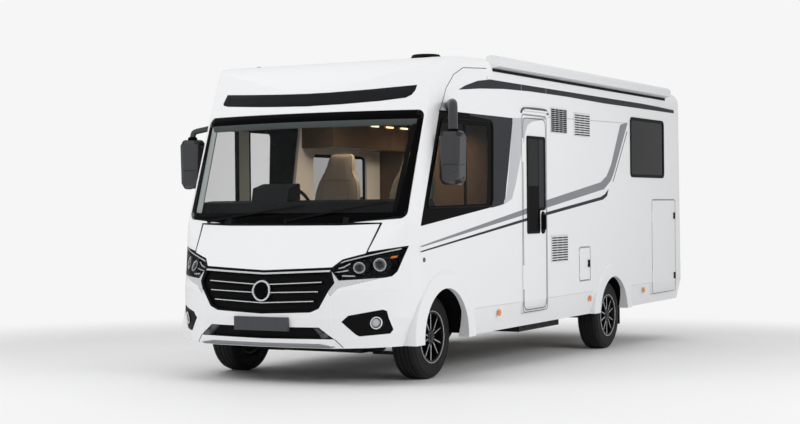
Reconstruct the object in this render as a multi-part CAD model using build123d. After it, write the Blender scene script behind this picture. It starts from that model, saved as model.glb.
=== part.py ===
from build123d import *
from collections import namedtuple
import math
import os

# An integrated motorhome on a front-drive van chassis. Lengths are millimetres.
# It is drawn level, the front axle over the origin, +X forward, +Y to its left, +Z up from the ground,
# and at the end it is set nose down on its wheels, as it stands, and centred on its own box.

# Stance and running gear
wheelbase = 4035
rake_deg = 1.15
tyre_r = 358
tyre_width = 222
tyre_shoulder_r = 26
bead_r = 208
groove_depth = 7
groove_width = 9
front_track_half = 915
rear_track_half = 985
rim_lip = 15
rim_wall = 7
spoke_width = 21
spoke_depth = 24
spoke_pairs = 5
spoke_pair_angle = 26
hub_r = 62
spindle_r = 25
spindle_clearance = 0.08
disc_r = 148
disc_width = 22
seat_gap = 0.3

# Coach envelope
front_overhang = 1077
rear_end_x = -6366
rear_lean = 0.0207
half_width = 1160
roof_z = 2800
roof_edge_r = 115
rear_roof_r = 160
wall = 32
glass = 6
panel = 8
seam = 3
wing_rear_x = 455
pillar_foot_z = 1400
bumper_top_z = 890
cut_over = 60

# Heights of the front's plan outlines
sill_z = 330
skirt_z = 567
grille_z = 800
lip_z = 950
scuttle_z = 1330
header_z = 2284
crown_z = 2900

# Roof line over the brow
brow_z = 2440
brow_set_back = 560
brow_top_z = 2765
cap_x = -855
side_edge_z = 2620

# Side openings of the body
cab_window_front_x = 452
cab_window_top_x = 95
cab_window_top_z = 2262
cab_window_sill_z = 1318
cab_window_rear_x = -1240
cab_window_rear_top_x = -1385
cab_window_rear_z = 1520
cab_window_corner_r = 55
door_front_x = -1620
door_rear_x = -2220
door_bottom_z = 456
door_top_z = 2330
door_corner_r = 45
door_gap = 5
hinge_stand_off = 6
hinge_strap = 30
hinge_length_share = 0.12
door_window_front_x = -1730
door_window_rear_x = -2170
door_window_bottom_z = 1200
door_window_top_z = 2130
handle_x = -2105
handle_z = 1305
handle_length = 210
garage_front_x = -5315
garage_rear_x = -6165
garage_bottom_z = 433
garage_top_z = 1520
hatch_front_x = -3055
hatch_rear_x = -3365
hatch_bottom_z = 690
hatch_top_z = 1035
rear_window_front_x = -4600
rear_window_rear_x = -5755
rear_window_bottom_z = 1770
rear_window_top_z = 2440
window_corner_r = 70
right_window_rear_x = -2720
right_window_top_z = 2010

# Bonnet hinge, under the foot of the windscreen
bonnet_axis_x = 781
bonnet_axis_z = 1280
cowl_z = 1254
cowl_half = 200
bonnet_hinge_half = 130
bonnet_lug_r = 10
bonnet_lug_width = 24
bonnet_pin_r = 5
bonnet_cheek = 6

# Wheel arches
arch_r = 418
liner_r = 456
liner_wall = 4
liner_inner_y = 560
liner_window = 100
arch_lip_width = 150
arch_lip_out = 14

# Floors and chassis
rail_y = 430
rail_width = 60
rail_bottom_z = 322
rail_top_z = 440
rail_web = 6
tow_bolt_x = -6180
tow_bolt_spacing = 120
tow_bolt_r = 6.5
jack_pad_x = -640
jack_pad_length = 90
jack_pad_width = 50
jack_pad_drop = 12
living_floor_z = 480
cab_floor_z = 700
floor_thick = 40
cab_rear_x = -1320

over = 5

rake = math.radians(rake_deg)
rear_hub_x = -wheelbase * math.cos(rake)
rear_hub_z = tyre_r - wheelbase * math.sin(rake)


# Shape helpers
def block(x0, x1, y0, y1, z0, z1):
    """A box between two corners."""
    return Pos((x0 + x1) / 2, (y0 + y1) / 2, (z0 + z1) / 2) * Box(abs(x1 - x0), abs(y1 - y0), abs(z1 - z0))


def side_prism(points, y0, y1, radius=0):
    """An outline seen from the side, (x, z), run from y0 to y1."""
    corners = [(x, y0, z) for x, z in points]
    line = FilletPolyline(*corners, radius=radius, close=True) if radius else Polyline(*corners, close=True)
    return extrude(make_face(line), amount=y1 - y0, dir=(0, 1, 0))


def front_prism(points, x0, x1, radius=0):
    """An outline seen from the front, (y, z), run from x0 to x1."""
    corners = [(x0, y, z) for y, z in points]
    line = FilletPolyline(*corners, radius=radius, close=True) if radius else Polyline(*corners, close=True)
    return extrude(make_face(line), amount=x1 - x0, dir=(1, 0, 0))


def side_panel(x0, x1, z0, z1, y0, y1, radius):
    """A rounded rectangle seen from the side, run from y0 to y1."""
    return side_prism([(x0, z0), (x1, z0), (x1, z1), (x0, z1)], y0, y1, radius)


def quarter_arc(start, end, centre):
    """A quarter circle between two points about a centre."""
    a = Vector(*start) - Vector(*centre)
    b = Vector(*end) - Vector(*centre)
    return ThreePointArc(start, Vector(*centre) + (a + b).normalized() * a.length, end)


def cylinder_y(x, z, r, y0, y1):
    """A round bar along Y."""
    return Pos(x, (y0 + y1) / 2, z) * Rot(90, 0, 0) * Cylinder(r, abs(y1 - y0))


def cylinder_x(y, z, r, x0, x1):
    """A round bar along X."""
    return Pos((x0 + x1) / 2, y, z) * Rot(0, 90, 0) * Cylinder(r, abs(x1 - x0))


def cylinder_z(x, y, r, z0, z1):
    """An upright round bar."""
    return Pos(x, y, (z0 + z1) / 2) * Cylinder(r, abs(z1 - z0))


def rod(start, end, r):
    """A round bar between two points."""
    line = Line(start, end)
    return sweep(Plane(origin=start, z_dir=(line @ 1) - (line @ 0)) * Circle(r), path=line)


def mirrored(shape):
    """The same piece on the other side of the coach."""
    return mirror(shape, about=Plane.XZ)


def pair(shape):
    """A piece and its mirror image."""
    return [shape, mirrored(shape)]


def group(pieces):
    """Pieces that share a node, as separate solids."""
    return Compound([solid for piece in pieces for solid in piece.solids()])


# Coach envelope: plan outlines at rising heights, trimmed by the roof line and the rounded roof edges.
# Shares: x of front_overhang, y of half_width.
PlanLevel = namedtuple("PlanLevel", "height front shoulder_x shoulder_y corner_x corner_y side_x half")
plan_level_shares = [
    PlanLevel(sill_z, 0.975, 0.932, 0.534, 0.734, 0.797, 0.390, 0.948),
    PlanLevel(skirt_z, 0.998, 0.956, 0.534, 0.747, 0.823, 0.390, 1.0),
    PlanLevel(grille_z, 1.0, 0.958, 0.534, 0.747, 0.823, 0.390, 1.0),
    PlanLevel(lip_z, 0.962, 0.920, 0.534, 0.724, 0.823, 0.400, 1.0),
    PlanLevel(scuttle_z, 0.724, 0.527, 0.938, 0.483, 0.976, 0.4225, 1.0),
    PlanLevel(header_z, 0.3435, 0.1876, 0.952, 0.139, 0.983, 0.074, 1.0),
    PlanLevel(crown_z, 0.0975, -0.046, 0.952, -0.093, 0.983, -0.158, 1.0),
]


def rear_x(z):
    """The rear wall's outer face at a height."""
    return rear_end_x + rear_lean * z


def plan_section(level, inset, z):
    """One plan outline, drawn in by an inset: side, corner, nose, corner, side, rear."""
    front = level.front * front_overhang
    shoulder = (level.shoulder_x * front_overhang, level.shoulder_y * half_width)
    bulge = front - shoulder[0]
    nose_r = (shoulder[1] ** 2 + bulge ** 2) / (2 * bulge)
    normal = ((nose_r - bulge) / nose_r, shoulder[1] / nose_r)
    lean = math.hypot(normal[0], normal[1] + 1)
    corner_x = level.corner_x * front_overhang - inset * normal[0] / lean
    corner_y = level.corner_y * half_width - inset * (normal[1] + 1) / lean
    shoulder_x = shoulder[0] - inset * normal[0]
    shoulder_y = shoulder[1] - inset * normal[1]
    side_x = level.side_x * front_overhang
    side_y = level.half * half_width - inset
    rear = rear_x(z) + inset
    edges = [
        Line((rear, -side_y, z), (side_x, -side_y, z)),
        ThreePointArc((side_x, -side_y, z), (corner_x, -corner_y, z), (shoulder_x, -shoulder_y, z)),
        ThreePointArc((shoulder_x, -shoulder_y, z), (front - inset, 0, z), (shoulder_x, shoulder_y, z)),
        ThreePointArc((shoulder_x, shoulder_y, z), (corner_x, corner_y, z), (side_x, side_y, z)),
        Line((side_x, side_y, z), (rear, side_y, z)),
        Line((rear, side_y, z), (rear, -side_y, z)),
    ]
    return make_face(Wire(edges))


# The brow's bend. Shares: x of brow_set_back, z of its rise.
BendShare = namedtuple("BendShare", "x z")
bend_share = BendShare(0.42, 0.72)


def roof_profile(inset):
    """The side view above the ground, with the brow's curve and the rounded rear."""
    header, crown = plan_level_shares[-2:]
    brow_share = (brow_z - header_z) / (crown_z - header_z)
    brow_x = front_overhang * (header.front - brow_share * (header.front - crown.front))
    low_z = brow_z - inset
    start = (brow_x + over, 0, low_z)
    top = (brow_x - brow_set_back, 0, brow_top_z - inset)
    bend = (brow_x - brow_set_back * bend_share.x, 0, brow_z + (brow_top_z - brow_z) * bend_share.z - inset)
    rear = rear_x(roof_z) + inset
    front = front_overhang + cut_over
    behind = rear_end_x - cut_over
    rounding_z = roof_z - inset - rear_roof_r
    lines = [
        Line((front, 0, -cut_over), (front, 0, low_z)),
        Line((front, 0, low_z), start),
        ThreePointArc(start, bend, top),
        Line(top, (cap_x, 0, roof_z - inset)),
        Line((cap_x, 0, roof_z - inset), (rear + rear_roof_r, 0, roof_z - inset)),
        quarter_arc((rear + rear_roof_r, 0, roof_z - inset), (rear, 0, rounding_z),
                    (rear + rear_roof_r, 0, rounding_z)),
        Line((rear, 0, rounding_z), (behind, 0, rounding_z)),
        Line((behind, 0, rounding_z), (behind, 0, -cut_over)),
        Line((behind, 0, -cut_over), (front, 0, -cut_over)),
    ]
    face = make_face(Wire(lines))
    return extrude(face, amount=half_width + cut_over, dir=(0, 1, 0), both=True)


def cross_section(inset):
    """The end view: upright sides and rounded roof edges, run the coach's length."""
    half = half_width - inset
    top = roof_z - inset
    r = roof_edge_r - inset / 2
    x0 = rear_end_x - cut_over
    lines = [
        Line((x0, -half, -cut_over), (x0, -half, top - r)),
        quarter_arc((x0, -half, top - r), (x0, -half + r, top), (x0, -half + r, top - r)),
        Line((x0, -half + r, top), (x0, half - r, top)),
        quarter_arc((x0, half - r, top), (x0, half, top - r), (x0, half - r, top - r)),
        Line((x0, half, top - r), (x0, half, -cut_over)),
        Line((x0, half, -cut_over), (x0, -half, -cut_over)),
    ]
    return extrude(make_face(Wire(lines)), amount=front_overhang - rear_end_x + 2 * cut_over, dir=(1, 0, 0))


made_envelopes = {}


def envelope(inset, drop=0):
    """The whole outer form, drawn in by an inset and carried down past the sill by a drop."""
    if (inset, drop) in made_envelopes:
        return made_envelopes[inset, drop]
    sections = []
    for level in plan_level_shares:
        z = level.height - drop if level.height == sill_z else level.height
        sections.append(plan_section(level, inset, z))
    body = loft(sections, ruled=True)
    made_envelopes[inset, drop] = body & roof_profile(inset) & cross_section(inset)
    return made_envelopes[inset, drop]


sill_half = plan_level_shares[0].half * half_width
coach = envelope(0)
coach_inner = envelope(wall, over)
shell = coach - coach_inner


def skin(outer_inset, inner_inset, region):
    """A layer of the coach's surface between two insets, kept inside a region."""
    outer = (coach if outer_inset == 0 else envelope(outer_inset)) & region
    return outer - envelope(inner_inset, over)


# Regions that cut the shell into the real panels
far_x = front_overhang + cut_over
far_y = half_width + cut_over
back_x = rear_end_x - cut_over

# The cap's rear seam, seen from the side. Shares: x of front_overhang, rise from header to roof.
CapPoint = namedtuple("CapPoint", "x rise")
cap_seam_shares = [CapPoint(-0.345, 0.729), CapPoint(-0.173, 0.603), CapPoint(-0.034, 0.368),
                   CapPoint(0.074, 0)]
cap_line = [(p.x * front_overhang, header_z + p.rise * (roof_z - header_z)) for p in cap_seam_shares]
foot_rise_share = (pillar_foot_z - scuttle_z) / (header_z - scuttle_z)
cap_foot_x = wing_rear_x - foot_rise_share * (wing_rear_x - cap_line[-1][0])
cap_region = side_prism([(cap_x, crown_z), (cap_x, cap_line[0][1])] + cap_line
                        + [(cap_foot_x, pillar_foot_z), (far_x, pillar_foot_z), (far_x, crown_z)],
                        -far_y, far_y)
rear_region = side_prism([(rear_x(0) + wall, 0), (rear_x(side_edge_z) + wall, side_edge_z),
                          (back_x, side_edge_z), (back_x, 0)], -far_y, far_y)
roof_region = block(back_x, cap_x, -far_y, far_y, side_edge_z, crown_z)
nose_region = block(wing_rear_x, far_x, -far_y, far_y, 0, pillar_foot_z)
left_region = block(back_x, far_x, 0, far_y, 0, crown_z)
right_region = block(back_x, far_x, -far_y, 0, 0, crown_z)
skirt_region = block(back_x, wing_rear_x, -far_y, far_y, 0, skirt_z)


# Openings in the walls
def hinged_gap(x0, x1, z0, z1, radius, gap, y0, y1):
    """The hole for a flush door or hatch, a gap larger all round than its leaf."""
    return side_panel(x0 + gap, x1 - gap, z0 - gap, z1 + gap, y0, y1, radius + gap)


cab_window_points = [
    (cab_window_front_x, cab_window_sill_z), (cab_window_top_x, cab_window_top_z),
    (cab_window_rear_top_x, cab_window_top_z), (cab_window_rear_x, cab_window_rear_z)]
inner_y = half_width - wall - over
cab_window_cut = side_prism(cab_window_points, inner_y, far_y, cab_window_corner_r / 2)
rear_window_cut = side_panel(rear_window_front_x, rear_window_rear_x, rear_window_bottom_z,
                             rear_window_top_z, inner_y, far_y, window_corner_r)
right_window_cut = mirrored(side_panel(door_front_x, right_window_rear_x, door_window_bottom_z,
                                       right_window_top_z, inner_y, far_y, window_corner_r))
door_cut = hinged_gap(door_front_x, door_rear_x, door_bottom_z, door_top_z, door_corner_r, door_gap,
                      inner_y - wall, far_y)
garage_cut = hinged_gap(garage_front_x, garage_rear_x, garage_bottom_z, garage_top_z, door_corner_r,
                        door_gap, inner_y - wall, far_y)
hatch_cut = hinged_gap(hatch_front_x, hatch_rear_x, hatch_bottom_z, hatch_top_z, door_corner_r / 2,
                       door_gap, inner_y, far_y)
arch_cuts = [cylinder_y(x, z, arch_r, -far_y, far_y) for x, z in ((0, tyre_r), (rear_hub_x, rear_hub_z))]
left_openings = [cab_window_cut, rear_window_cut, door_cut, garage_cut, hatch_cut]
right_openings = [mirrored(cab_window_cut), mirrored(rear_window_cut), right_window_cut]


def cut_all(shape, tools):
    """The shape less every tool."""
    for tool in tools:
        shape = shape - tool
    return shape


nodes = {}

# Walls, roof and rear
walls = cut_all(shell, [cap_region, rear_region, roof_region, nose_region, skirt_region] + arch_cuts)
walls = walls - block(back_x, far_x, -far_y, far_y, crown_z, crown_z + over)
nodes["side_wall_left"] = cut_all(walls & left_region, left_openings)
nodes["side_wall_right"] = cut_all(walls & right_region, right_openings)
nodes["roof_shell"] = shell & roof_region
nodes["rear_wall"] = (shell & rear_region) - skirt_region
nodes["skirts"] = cut_all(shell & skirt_region, arch_cuts + [door_cut, garage_cut])


# Front: panels, lamps and grille all follow the nose, cut by outlines seen from the front.
# Shares: across of half_width, up of the rise from sill to scuttle.
def nose_points(shares):
    """Front-view points of half an outline."""
    return [(across * half_width, sill_z + up * (scuttle_z - sill_z)) for across, up in shares]


def nose_prism(shares, whole=False, shrink=0):
    """A cutter with that outline, on the left side or closed with its mirror image."""
    points = nose_points(shares)
    if whole:
        points = points + [(-y, z) for y, z in reversed(points) if y > 0]
    face = make_face(Polyline(*[(wing_rear_x, y, z) for y, z in points], close=True))
    if shrink:
        face = offset(face, amount=-shrink, kind=Kind.INTERSECTION)
    return extrude(face, amount=far_x - wing_rear_x, dir=(1, 0, 0))


bonnet_shares = [(0, 1.02), (0.776, 1.012), (0.733, 0.758), (0.581, 0.710), (0.530, 0.648), (0, 0.622)]
grille_shares = [(0, 0.622), (0.530, 0.648), (0.566, 0.530), (0.457, 0.322), (0.392, 0.290), (0, 0.272)]
lamp_shares = [(0.510, 0.660), (0.544, 0.690), (0.581, 0.730), (0.731, 0.775), (0.955, 0.822),
               (0.927, 0.703), (0.907, 0.614), (0.883, 0.576), (0.847, 0.566), (0.590, 0.549)]
blade_shares = [(0.541, 0.420), (0.595, 0.488), (0.699, 0.519), (0.847, 0.566), (0.590, 0.549),
                (0.510, 0.660), (0.480, 0.560)]
bonnet_leaf_shares = [(0, 0.990), (0.467, 0.990), (0.756, 1.0), (0.7225, 0.7645), (0.578, 0.7165),
                      (0.526, 0.655), (0, 0.6285)]
intake_shares = [(0, 0.165), (0.452, 0.170), (0.562, 0.075), (0, 0.068)]
fog_shares = [(0.609, 0.216), (0.652, 0.266), (0.843, 0.310), (0.862, 0.297), (0.884, 0.145), (0.868, 0.111),
              (0.709, 0.096), (0.690, 0.111)]

bonnet_cut = nose_prism(bonnet_shares, whole=True)
grille_cut = nose_prism(grille_shares, whole=True)
intake_cut = nose_prism(intake_shares, whole=True)
lamp_cut = nose_prism(lamp_shares) - bonnet_cut - grille_cut
blade_cut = nose_prism(blade_shares) - lamp_cut - grille_cut - bonnet_cut
fog_cut = nose_prism(fog_shares)
nose = skin(0, panel, nose_region)
nose_cuts = [bonnet_cut, grille_cut, intake_cut] + pair(lamp_cut) + pair(blade_cut) + pair(fog_cut)
lower_nose = block(wing_rear_x, far_x, -far_y, far_y, 0, bumper_top_z)
bonnet_skin = nose & nose_prism(bonnet_leaf_shares, whole=True)
cheek_reach = bonnet_pin_r + seam
bonnet_lugs = []
hinge_brackets = []
for y in (-bonnet_hinge_half, bonnet_hinge_half):
    low_y = y - bonnet_lug_width / 2
    high_y = y + bonnet_lug_width / 2
    arm = block(bonnet_axis_x, far_x, low_y, high_y, bonnet_axis_z - bonnet_lug_r,
                bonnet_axis_z + bonnet_pin_r)
    eye = cylinder_y(bonnet_axis_x, bonnet_axis_z, bonnet_lug_r, low_y, high_y)
    hole = cylinder_y(bonnet_axis_x, bonnet_axis_z, bonnet_pin_r + spindle_clearance, low_y - over,
                      high_y + over)
    bonnet_lugs.append((arm & envelope(panel, over)) + eye - hole)
    bracket = cylinder_y(bonnet_axis_x, bonnet_axis_z, bonnet_pin_r, low_y - bonnet_cheek,
                         high_y + bonnet_cheek)
    for cheek_y in (low_y - seat_gap - bonnet_cheek, high_y + seat_gap):
        bracket = bracket + block(bonnet_axis_x - cheek_reach, bonnet_axis_x + cheek_reach, cheek_y,
                                  cheek_y + bonnet_cheek, cowl_z - over, bonnet_axis_z + cheek_reach)
    hinge_brackets.append(bracket)
nodes["bonnet"] = bonnet_skin + bonnet_lugs
nodes["front_bumper"] = cut_all(nose & lower_nose, nose_cuts)
wings = cut_all(nose - lower_nose, nose_cuts)

# Main grille: a dark frame with a mesh plate behind, curved bars, a plain ring, and bright strips
grille_depth = 36
bar_height = 24
strip_height = 7
# Shares: heights of the rise from sill to scuttle, half widths of half_width.
BandShare = namedtuple("BandShare", "centre end reach")
bar_row_shares = [BandShare(0.510, 0.536, 0.470), BandShare(0.444, 0.460, 0.450),
                  BandShare(0.362, 0.382, 0.415)]
top_strip_share = BandShare(0.615, 0.640, 0.523)
ring_z = 790
ring_r = 86
ring_width = 13


def nose_band(row, low, high):
    """A curved band across the nose: height at the centre and at the ends, and half its width."""
    middle_z = sill_z + row.centre * (scuttle_z - sill_z)
    end_z = sill_z + row.end * (scuttle_z - sill_z)
    reach = row.reach * half_width
    points = [(0, middle_z + high), (reach, end_z + high), (reach, end_z + low), (0, middle_z + low)]
    return front_prism(points + [(-y, z) for y, z in reversed(points) if y > 0], 0, far_x)


def shrunk(shares, amount):
    """Share points pulled towards the outline's middle height and the centre line."""
    middle = sum(up for across, up in shares) / len(shares)
    return [(across * (1 - amount), middle + (up - middle) * (1 - 2 * amount)) for across, up in shares]


rim_share = 0.045
grille_field = nose_prism(shrunk(grille_shares, rim_share), whole=True)
frame = skin(over, grille_depth, grille_cut) - grille_field
mesh_plate = skin(grille_depth - over, grille_depth, grille_cut)
ring_cut = cylinder_x(0, ring_z, ring_r, 0, far_x)
bars = Part()
for row in bar_row_shares:
    bars += skin(over + seam, grille_depth, nose_band(row, -bar_height / 2, bar_height / 2) & grille_cut)
main_grille = ((frame + mesh_plate + bars) - ring_cut) + skin(over + seam, grille_depth, ring_cut)
strips = skin(seam, over, nose_band(top_strip_share, -strip_height * 3, -strip_height) & grille_cut)
ring = skin(-over, over + seam, ring_cut - cylinder_x(0, ring_z, ring_r - ring_width, 0, far_x))
for row in bar_row_shares:
    strip = skin(seam, over + seam, nose_band(row, -strip_height / 2, strip_height / 2) & grille_cut)
    strips += strip - ring_cut
nose_trim = strips + ring
lower_grille = (skin(over, grille_depth, intake_cut)
                - nose_prism(shrunk(intake_shares, rim_share), whole=True)
                ) + skin(grille_depth - over, grille_depth, intake_cut)

# Lamps
lamp_depth = 70
lens_r = 58
# Shares as for the nose outlines.
LensShare = namedtuple("LensShare", "across up")
lens_place_shares = [LensShare(0.705, 0.650), LensShare(0.822, 0.675)]
lens_set_back = 22


def lens_barrel(place):
    """A round projector from the bucket towards the cover."""
    y = place.across * half_width
    z = sill_z + place.up * (scuttle_z - sill_z)
    return skin(lens_set_back, lamp_depth, cylinder_x(y, z, lens_r, wing_rear_x, far_x) & lamp_cut)


lamp_inside = nose_prism(lamp_shares, shrink=panel) - nose_prism(bonnet_shares, whole=True, shrink=-panel)
lamp_inside = lamp_inside - nose_prism(grille_shares, whole=True, shrink=-panel)
lamp_bucket = skin(panel / 2 + seat_gap, lamp_depth, lamp_cut) - skin(0, lamp_depth - panel, lamp_inside)
lamp = lamp_bucket + [lens_barrel(place) for place in lens_place_shares]
nodes["headlamp_covers"] = group(pair(skin(0, panel / 2, lamp_cut)))
nodes["nose_trim"] = group(nose_trim.solids() + pair(skin(0, panel, blade_cut)))
fog_y = 935
fog_z = 530
fog_r = 52
fog_hole = cylinder_x(fog_y, fog_z, fog_r + seat_gap, wing_rear_x, far_x)
fog_bezel = skin(over, grille_depth, fog_cut) - fog_hole
fog_lamp = skin(panel, grille_depth, cylinder_x(fog_y, fog_z, fog_r, wing_rear_x, far_x))
nodes["front_grilles"] = group([main_grille, lower_grille] + pair(fog_bezel))
nodes["front_lamps"] = group(pair(lamp) + pair(fog_lamp))

# Windscreen in the cap, the cap's pillars and brow
screen_foot_z = 1377
screen_corner_r = 60
screen_reach_share = 0.935
screen_half = half_width * screen_reach_share
screen_dip = 42
screen_points = [(-screen_half, screen_foot_z), (-screen_half / 2, screen_foot_z - screen_dip),
                 (screen_half / 2, screen_foot_z - screen_dip), (screen_half, screen_foot_z),
                 (screen_half, header_z), (-screen_half, header_z)]
above_scuttle = block(0, far_x, -far_y, far_y, scuttle_z, crown_z)
screen_cut = front_prism(screen_points, 0, far_x, screen_corner_r) & above_scuttle
cap_skin = (shell & cap_region) - screen_cut
nodes["front_cap"] = cut_all(cap_skin, [cab_window_cut, mirrored(cab_window_cut)])
nodes["front_wings"] = cut_all(wings, [screen_cut, cab_window_cut, mirrored(cab_window_cut)])
nodes["windscreen"] = skin(0, glass, screen_cut)
cab_glass = skin(0, glass, cab_window_cut)
rear_glass = skin(0, glass, rear_window_cut)
nodes["side_windows"] = group(pair(cab_glass) + pair(rear_glass) + [skin(0, glass, right_window_cut)])

# Doors and hatches, flush in their gaps
side_layer = shell & left_region


def leaf(x0, x1, z0, z1, radius):
    """A flush leaf as thick as the wall."""
    return side_layer & side_panel(x0, x1, z0, z1, inner_y - wall, far_y, radius)


def hinge_barrels(x, z0, z1):
    """Two barrels on a leaf's front edge, about the hinge line that stands off the wall."""
    length = (z1 - z0) * hinge_length_share
    barrels = []
    for z in (z0 + length, z1 - 2 * length):
        strap = block(x - hinge_strap, x + hinge_stand_off / 2, half_width - seam, half_width + seam, z,
                      z + length)
        strap = strap & side_panel(x - hinge_strap - over, x, z0, z1, 0, far_y, door_corner_r / 2) + block(
            x - over, x + hinge_stand_off / 2, half_width + seat_gap, half_width + seam, z, z + length)
        barrels.append(strap + cylinder_z(x + hinge_stand_off / 2, half_width + hinge_stand_off,
                                          hinge_stand_off - seat_gap, z, z + length))
    return barrels


door_leaf = leaf(door_front_x, door_rear_x, door_bottom_z, door_top_z, door_corner_r)
door_window_cut = side_panel(door_window_front_x, door_window_rear_x, door_window_bottom_z,
                             door_window_top_z, inner_y - wall, far_y, door_corner_r)
nodes["hab_door"] = door_leaf - door_window_cut + hinge_barrels(door_front_x, door_bottom_z, door_top_z)
nodes["hab_door_window"] = skin(0, glass, door_window_cut)
handle_out = 38
handle_r = 11
handle_plate = side_panel(handle_x - handle_r * 2, handle_x + handle_r * 2, handle_z - handle_length / 2,
                          handle_z + handle_length / 2, half_width, half_width + handle_r, handle_r)
nodes["hab_door_handle"] = handle_plate + side_panel(
    handle_x - handle_r, handle_x + handle_r, handle_z - handle_length / 3, handle_z + handle_length / 3,
    half_width + handle_r, half_width + handle_out, handle_r / 2)
lock_r = 24
lock_out = 7
garage_leaf = leaf(garage_front_x, garage_rear_x, garage_bottom_z, garage_top_z, door_corner_r)
lock_inset = 50
garage_locks = [cylinder_y(garage_rear_x + lock_inset, z, lock_r, half_width - seam, half_width + lock_out)
                for z in (garage_top_z - wall * 6, skirt_z + lock_inset)]
nodes["garage_door"] = garage_leaf + garage_locks + hinge_barrels(garage_front_x, garage_bottom_z,
                                                                   garage_top_z)
hatch_leaf = leaf(hatch_front_x, hatch_rear_x, hatch_bottom_z, hatch_top_z, door_corner_r / 2)
hatch_lock = cylinder_y(hatch_rear_x + lock_inset, (hatch_bottom_z + hatch_top_z) / 2, lock_r,
                        half_width - seam, half_width + lock_out)
nodes["service_hatch"] = hatch_leaf + hatch_lock + hinge_barrels(hatch_front_x, hatch_bottom_z, hatch_top_z)

# Wheel-arch lips on the sides, and liners over the wheels
lip_r = arch_r + arch_lip_width


def arch_lip(x, z):
    """A raised ring round an arch, bevelled outwards and open at the sill."""
    ring = cylinder_y(x, z, lip_r, half_width - lock_inset * 2, half_width + arch_lip_out)
    ring = chamfer(ring.edges().sort_by(Axis.Y)[-1], arch_lip_out - over)
    ring = ring - cylinder_y(x, z, arch_r, 0, far_y) - block(back_x, far_x, 0, far_y, -far_y, sill_z)
    return ring - coach


nodes["arch_lips"] = group(pair(arch_lip(0, tyre_r)) + pair(arch_lip(rear_hub_x, rear_hub_z)))
rear_liner_inner_y = 815
arch_places = [(0, tyre_r, liner_inner_y), (rear_hub_x, rear_hub_z, rear_liner_inner_y)]


def arch_liner(x, z, inner_y0):
    """A half-round housing over a wheel, its inner end closed but for the suspension's window."""
    outer = cylinder_y(x, z, liner_r + liner_wall, inner_y0, half_width - wall)
    inner = cylinder_y(x, z, liner_r, inner_y0 + liner_wall, half_width)
    window = block(x - liner_window, x + liner_window, inner_y0 - over, inner_y0 + liner_wall + over, 0,
                   z + liner_window * 2)
    below = block(x - liner_r * 2, x + liner_r * 2, 0, far_y, -far_y, z)
    return (outer - inner - window - below) & coach_inner


flap_low_z = 150
liners = pair(arch_liner(*arch_places[0]))
flap_rear_x = rear_hub_x - liner_r - liner_wall
flap = block(flap_rear_x, flap_rear_x + liner_wall * 4, rear_liner_inner_y + liner_window / 2,
             sill_half - wall - over, flap_low_z, sill_z + wall)
liners += pair(arch_liner(*arch_places[1]) + flap)
nodes["arch_liners"] = group(liners)
liner_space = []
for x, z, y in arch_places:
    liner_space += pair(cylinder_y(x, z, liner_r + liner_wall + seat_gap, y - seat_gap, far_y))

# Floors, bulkhead and chassis
inside_y = half_width - wall
living = block(rear_x(living_floor_z) + wall, cab_rear_x, -inside_y, inside_y, living_floor_z - floor_thick,
               living_floor_z)
riser = block(cab_rear_x, cab_rear_x + floor_thick, -inside_y, inside_y, living_floor_z - floor_thick,
              cab_floor_z)
bulkhead_x = 420
cab_deck = block(cab_rear_x, bulkhead_x, -inside_y, inside_y, cab_floor_z - floor_thick, cab_floor_z)


def leaf_space(x0, x1, z0, z1):
    """Room inside the wall that a leaf needs to swing free."""
    return block(x1 - door_gap, x0 + door_gap, inside_y - door_gap, far_y, z0 - door_gap, z1 + door_gap)


leaf_spaces = [leaf_space(door_front_x, door_rear_x, door_bottom_z, door_top_z),
               leaf_space(garage_front_x, garage_rear_x, garage_bottom_z, garage_top_z),
               leaf_space(hatch_front_x, hatch_rear_x, hatch_bottom_z, hatch_top_z)]
nodes["floor_panel"] = cut_all(living + riser + cab_deck, liner_space + leaf_spaces) & coach_inner
nose_inside = coach_inner & block(bulkhead_x - floor_thick, far_x, -far_y, far_y, 0, scuttle_z)
bulkhead_wall = nose_inside & block(bulkhead_x - floor_thick, bulkhead_x, -inside_y, inside_y, cab_floor_z,
                                    scuttle_z)
bulkhead_shelf = nose_inside & block(bulkhead_x - over, far_x, -cowl_half, cowl_half, cowl_z - wall, cowl_z)
nodes["front_bulkhead"] = cut_all(bulkhead_wall + bulkhead_shelf, liner_space) + hinge_brackets
rail_front_x = 900
rail_rear_x = rear_x(0) + wall * 3
cross_member_shares = [0.0042, 0.1353, 0.2259, 0.3933, 0.5118, 0.6374, 0.7768, 0.9526, 0.9916]


def rail(y):
    """One channel-section rail, its flanges turned inwards."""
    outer = block(rail_rear_x, rail_front_x, y - rail_width / 2, y + rail_width / 2, rail_bottom_z, rail_top_z)
    core = block(rail_rear_x - over, rail_front_x + over, y - rail_width, y + rail_width / 2 - rail_web,
                 rail_bottom_z + rail_web, rail_top_z - rail_web)
    return outer - core


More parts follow.
